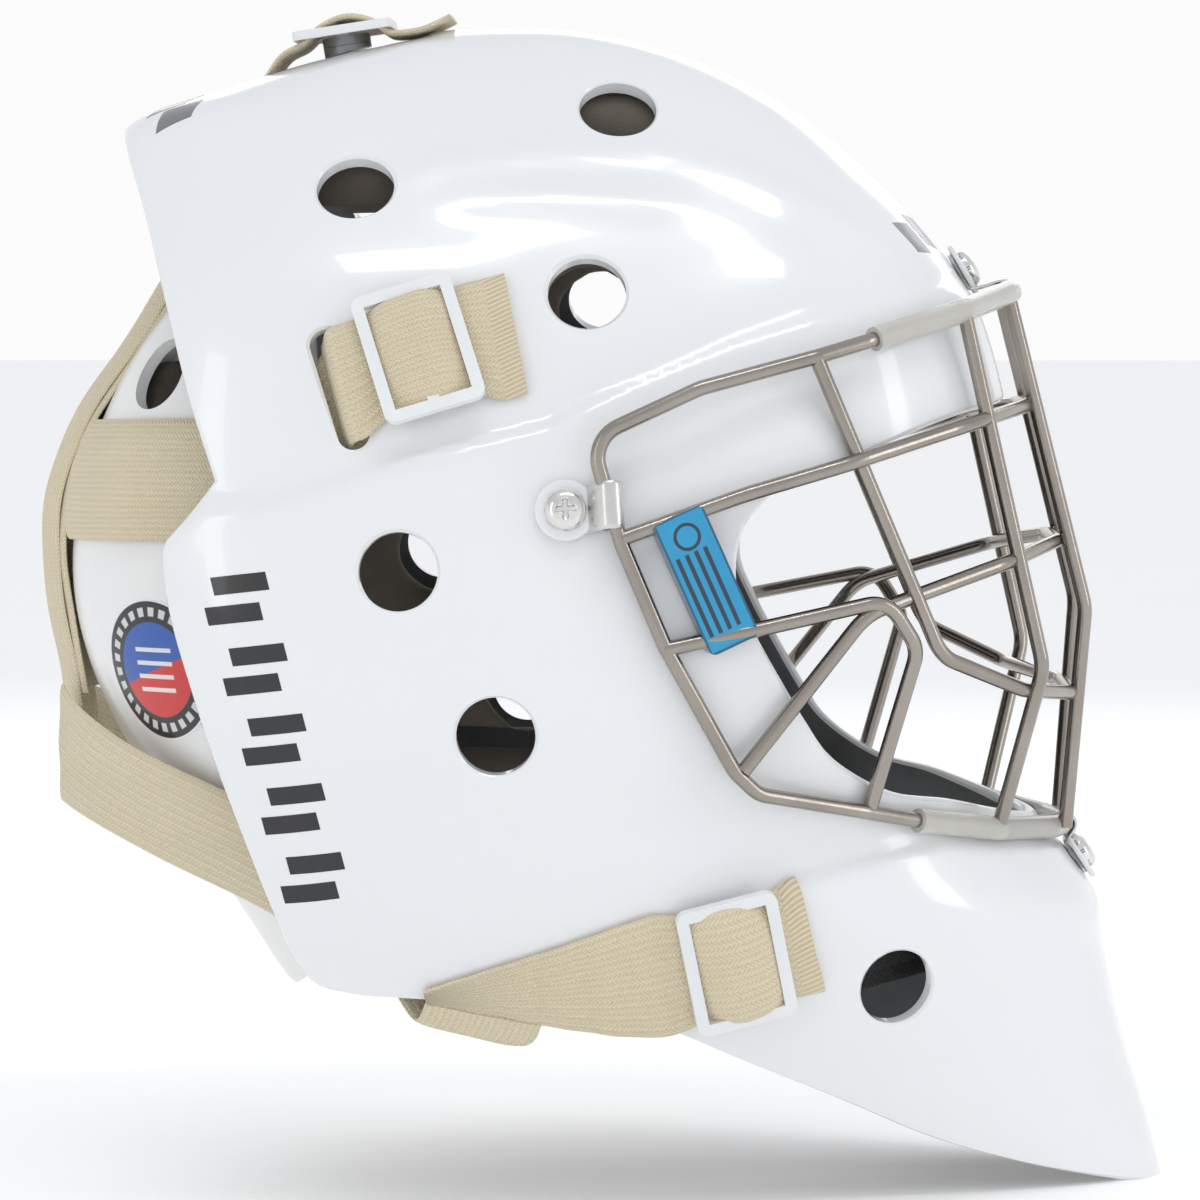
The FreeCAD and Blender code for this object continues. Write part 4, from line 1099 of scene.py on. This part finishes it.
def fastener_frames():
    """For each screw: its place on the shell, then unit vectors towards the rim, aside and along the screw."""
    frames = {}
    for name, place, up, aim in (("left", (13.4, 0, 22.2), None, (25.2, 108.1, 24)),
                                 ("brow", (118, 0, 84.6), (0.87, 0, 0.5), (130.5, 0, 79)),
                                 ("chin", (149, 0, -76.6), (0.83, 0, 0.55), (147, 0, -66.5))):
        if up is None:
            middle, up = side_frame(place[0], place[2])
        else:
            middle = shell_skin(np.array(place, float))
            up = unit(np.array(up))
        aim = np.array(aim, float)
        ahead = aim - middle
        ahead = unit(ahead - up * np.dot(ahead, up))
        frames[name] = (middle, ahead, np.cross(up, ahead), up, aim)
    flip = np.array([1, -1, 1])
    frames["right"] = tuple(vector * flip for vector in frames["left"])
    return frames


def disc_grid(radius, count):
    """A square grid pressed into a disc: each point is drawn in by how much of a corner it is."""
    u, v = np.meshgrid(np.linspace(-1, 1, count), np.linspace(-1, 1, count), indexing="ij")
    return radius * u * np.sqrt(1 - v ** 2 / 2), radius * v * np.sqrt(1 - u ** 2 / 2)


def head_shape(seat, count=49):
    """Underside and top of a screw head: a pan with a cross cut into it, whose walls lean a little."""
    x, y = disc_grid(HEAD_RADIUS, count)
    radius = np.hypot(x, y) / HEAD_RADIUS
    pan = HEAD_RISE * (1 - radius ** 3.2) ** 0.45
    narrow, long = np.minimum(np.abs(x), np.abs(y)), np.maximum(np.abs(x), np.abs(y))
    cross = ease((RECESS - narrow) / 0.3 + 0.5) * ease((RECESS_REACH - long) / 0.8)
    top = np.stack([x, y, seat + pan - RECESS_DEPTH * cross], -1)
    return np.stack([x, y, np.full_like(x, seat - 0.2)], -1), top


def washer_shape(seat, turns=72, count=28):
    """A flat ring with rounded edges: a superellipse section carried round the screw."""
    turn, round_ = np.meshgrid(np.linspace(0, 2 * np.pi, turns, endpoint=False),
                               np.linspace(0, 2 * np.pi, count, endpoint=False), indexing="ij")
    half = (WASHER_RADIUS - WASHER_BORE) / 2
    radius = WASHER_BORE + half + half * np.sign(np.cos(round_)) * np.abs(np.cos(round_)) ** 0.35
    height = seat + WASHER_THICK / 2 * (1 + np.sign(np.sin(round_)) * np.abs(np.sin(round_)) ** 0.6)
    return np.stack([radius * np.cos(turn), radius * np.sin(turn), height], -1)


def placed(points, frame_at):
    """Points along a screw's own three directions, carried to where that screw is."""
    middle, ahead, aside, up, _ = frame_at
    return middle + points[..., :1] * ahead + points[..., 1:2] * aside + points[..., 2:] * up


def clip_grid(frame_at, steps=70, columns=15):
    """Underside of a clip: a round foot, a ramp to the top of the rim wire, then most of a turn round the wire."""
    middle, ahead, _, up, aim = frame_at
    run, rise = np.dot(aim - middle, ahead), np.dot(aim - middle, up)
    curl = np.radians(np.linspace(CURL_START, CURL_END, 9))
    reach = WIRE_RADIUS + 0.15
    line = [(-5.8, 0, 0.15), (0, 0, 0.1), (4.5, 0, 0.2)]
    line += [(run + reach * math.cos(turn), 0, rise + reach * math.sin(turn)) for turn in curl]
    grid = curved_grid(line, steps, columns, (0, CLIP_WIDTH, 0))
    foot = np.clip(-grid[:, :1, 0] / 6.0, 0, 1)
    grid[..., 1] *= np.sqrt(np.maximum(1 - foot ** 2, 0.05))
    return placed(grid, frame_at)


frames = fastener_frames()
seat, head_top = head_shape(CLIP_THICK + WASHER_THICK)
heads = printed("cage_screw_heads", [(placed(seat, at), placed(head_top, at)) for at in frames.values()], plated)
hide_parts("cage_screws")
washer_rings = [placed(washer_shape(CLIP_THICK + 0.1), at) for at in frames.values()]
ring_faces = grid_faces(*washer_rings[0].shape[:2], True, True)
ring_count = washer_rings[0].shape[0] * washer_rings[0].shape[1]
washers = new_piece("cage_washers", np.stack(washer_rings),
                    np.concatenate([ring_faces + k * ring_count for k in range(len(washer_rings))]), nylon)
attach(washers, "mask")
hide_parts("screw_washers")
for name, at in frames.items():
    clip = new_strap(f"cage_clip_{name}_steel", clip_grid(at), at[3], CLIP_THICK, pressed, crown=0.1)
    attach(clip, "mask")
    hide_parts(f"cage_clip_{name}")

# %% [markdown]
# ## Label and badge
# The blue label folds over two wires and the round badge sits on the backplate. Their prints are drawn from
# distances along each one's own directions: a dark border, and plain bars in place of words.

# %% Printed label and badge
LABEL_MIDDLE, LABEL_DOWN = Vector((49.2, -105.7, 4.8)) * MM, Vector((14.9, 1.4, -32.6)).normalized()
LABEL_FACE = Vector((0.22, -1, 0)).normalized()
LABEL_FACE = (LABEL_FACE - LABEL_DOWN * LABEL_FACE.dot(LABEL_DOWN)).normalized()
label = Finish("printed_label", Coat_Weight=0.6, Coat_Roughness=0.08)
down = label.toward(LABEL_MIDDLE, LABEL_DOWN) * 1000
aside = label.toward(LABEL_MIDDLE, LABEL_DOWN.cross(LABEL_FACE)) * 1000
lines = (((aside + 7) * (1 / 2.6)).fraction() - 0.5).size().below(0.22, 0.05)
text_area = (aside - 0.5).size().below(4.9, 0.2) * (down - 3.0).size().below(11.0, 0.3)
dot = (((down + 12.2) * (down + 12.2) + aside * aside).math("SQRT") - 3.2).size().below(0.45, 0.1)
edge = 1 - (down.size().below(17.9, 0.15) * aside.size().below(6.4, 0.15))
ink_mask = (lines * text_area).math("MAXIMUM", dot).math("MAXIMUM", edge * 0.75)
blue = label.mix(label.noise(90.0, 3), rgb(0.0, 0.27, 0.52), rgb(0.01, 0.33, 0.60))
label.connect(Base_Color=label.mix(ink_mask, blue, rgb(0.01, 0.03, 0.06)),
              Roughness=label.noise(200.0, 2) * 0.1 + 0.25)

badge_low, badge_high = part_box("backplate_sticker")
BADGE_MIDDLE = (badge_low + badge_high) / 2
badge = Finish("printed_badge", Coat_Weight=0.5, Coat_Roughness=0.1)
BADGE_FORWARD = Vector((badge_high.x - badge_low.x, -(badge_high.y - badge_low.y), 0)).normalized()
across_badge = badge.toward(BADGE_MIDDLE, BADGE_FORWARD) * 1000
up_badge = badge.toward(BADGE_MIDDLE, Vector((0, 0, 1))) * 1000
spread = (across_badge * across_badge + up_badge * up_badge).math("SQRT")
BADGE_RADIUS, FIELD_RADIUS, TICKS = 18.4, 12.8, 26
ring_mask = spread.below(BADGE_RADIUS, 0.2) * (1 - spread.below(FIELD_RADIUS, 0.2))
ticks = up_badge.math("ARCTAN2", across_badge) * (TICKS / (2 * math.pi))
tick_mask = ticks.fraction().below(0.55, 0.08) * ((spread - 15.6).size().below(1.2, 0.2))
halves = badge.mix((across_badge * 0.35 - up_badge).below(0.0, 0.2), rgb(0.62, 0.03, 0.025), rgb(0.02, 0.10, 0.42))
bars = ((up_badge * 0.28).fraction() - 0.5).size().below(0.16, 0.04) * across_badge.size().below(6.5, 0.3)
field = badge.mix(bars * spread.below(11.0, 0.3) * (up_badge.size() - 2.0).below(6.0, 0.3) * 0.85, halves,
                  rgb(0.85, 0.85, 0.84))
ring_colour = badge.mix(tick_mask * 0.8, rgb(0.012, 0.012, 0.014), rgb(0.8, 0.8, 0.8))
inner_colour = badge.mix(spread.below(BADGE_RADIUS, 0.2), rgb(0.85, 0.85, 0.85), field)
badge.connect(Base_Color=badge.mix(ring_mask, inner_colour, ring_colour),
              Roughness=badge.noise(150.0, 2) * 0.1 + 0.28)
print("badge", round(2 * BADGE_RADIUS, 1), "mm across with", TICKS, "ticks")

# %% [markdown]
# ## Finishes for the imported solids
# The solids that are still shown are the real part's plain hard pieces. Each takes the finish whose key its name
# starts with, and the keys are tried in order, so that a clip or a label isn't taken for cage wire.

# %% Give every shown solid its finish
FINISHES = {"cage_clip": pressed, "cage_screws": plated, "screw_washers": nylon, "threaded_inserts": pressed,
            "rim_sleeve": vinyl, "cage_label": label, "cage_": wire, "backplate_sticker": badge,
            "backplate": back_white, "side_slide": nylon, "jaw_slide": nylon, "top_slide": nylon,
            "top_socket": stud_grey, "top_stud": stud_grey, "chin_cup": black, "chin_studs": black}
for name, node in nodes.items():
    if node.hide_render:
        continue
    finish = next(finish for start, finish in FINISHES.items() if name.startswith(start))
    node.data.materials.clear()
    node.data.materials.append(finish.material)
print("finishes given to", sum(not node.hide_render for node in nodes.values()), "solids")
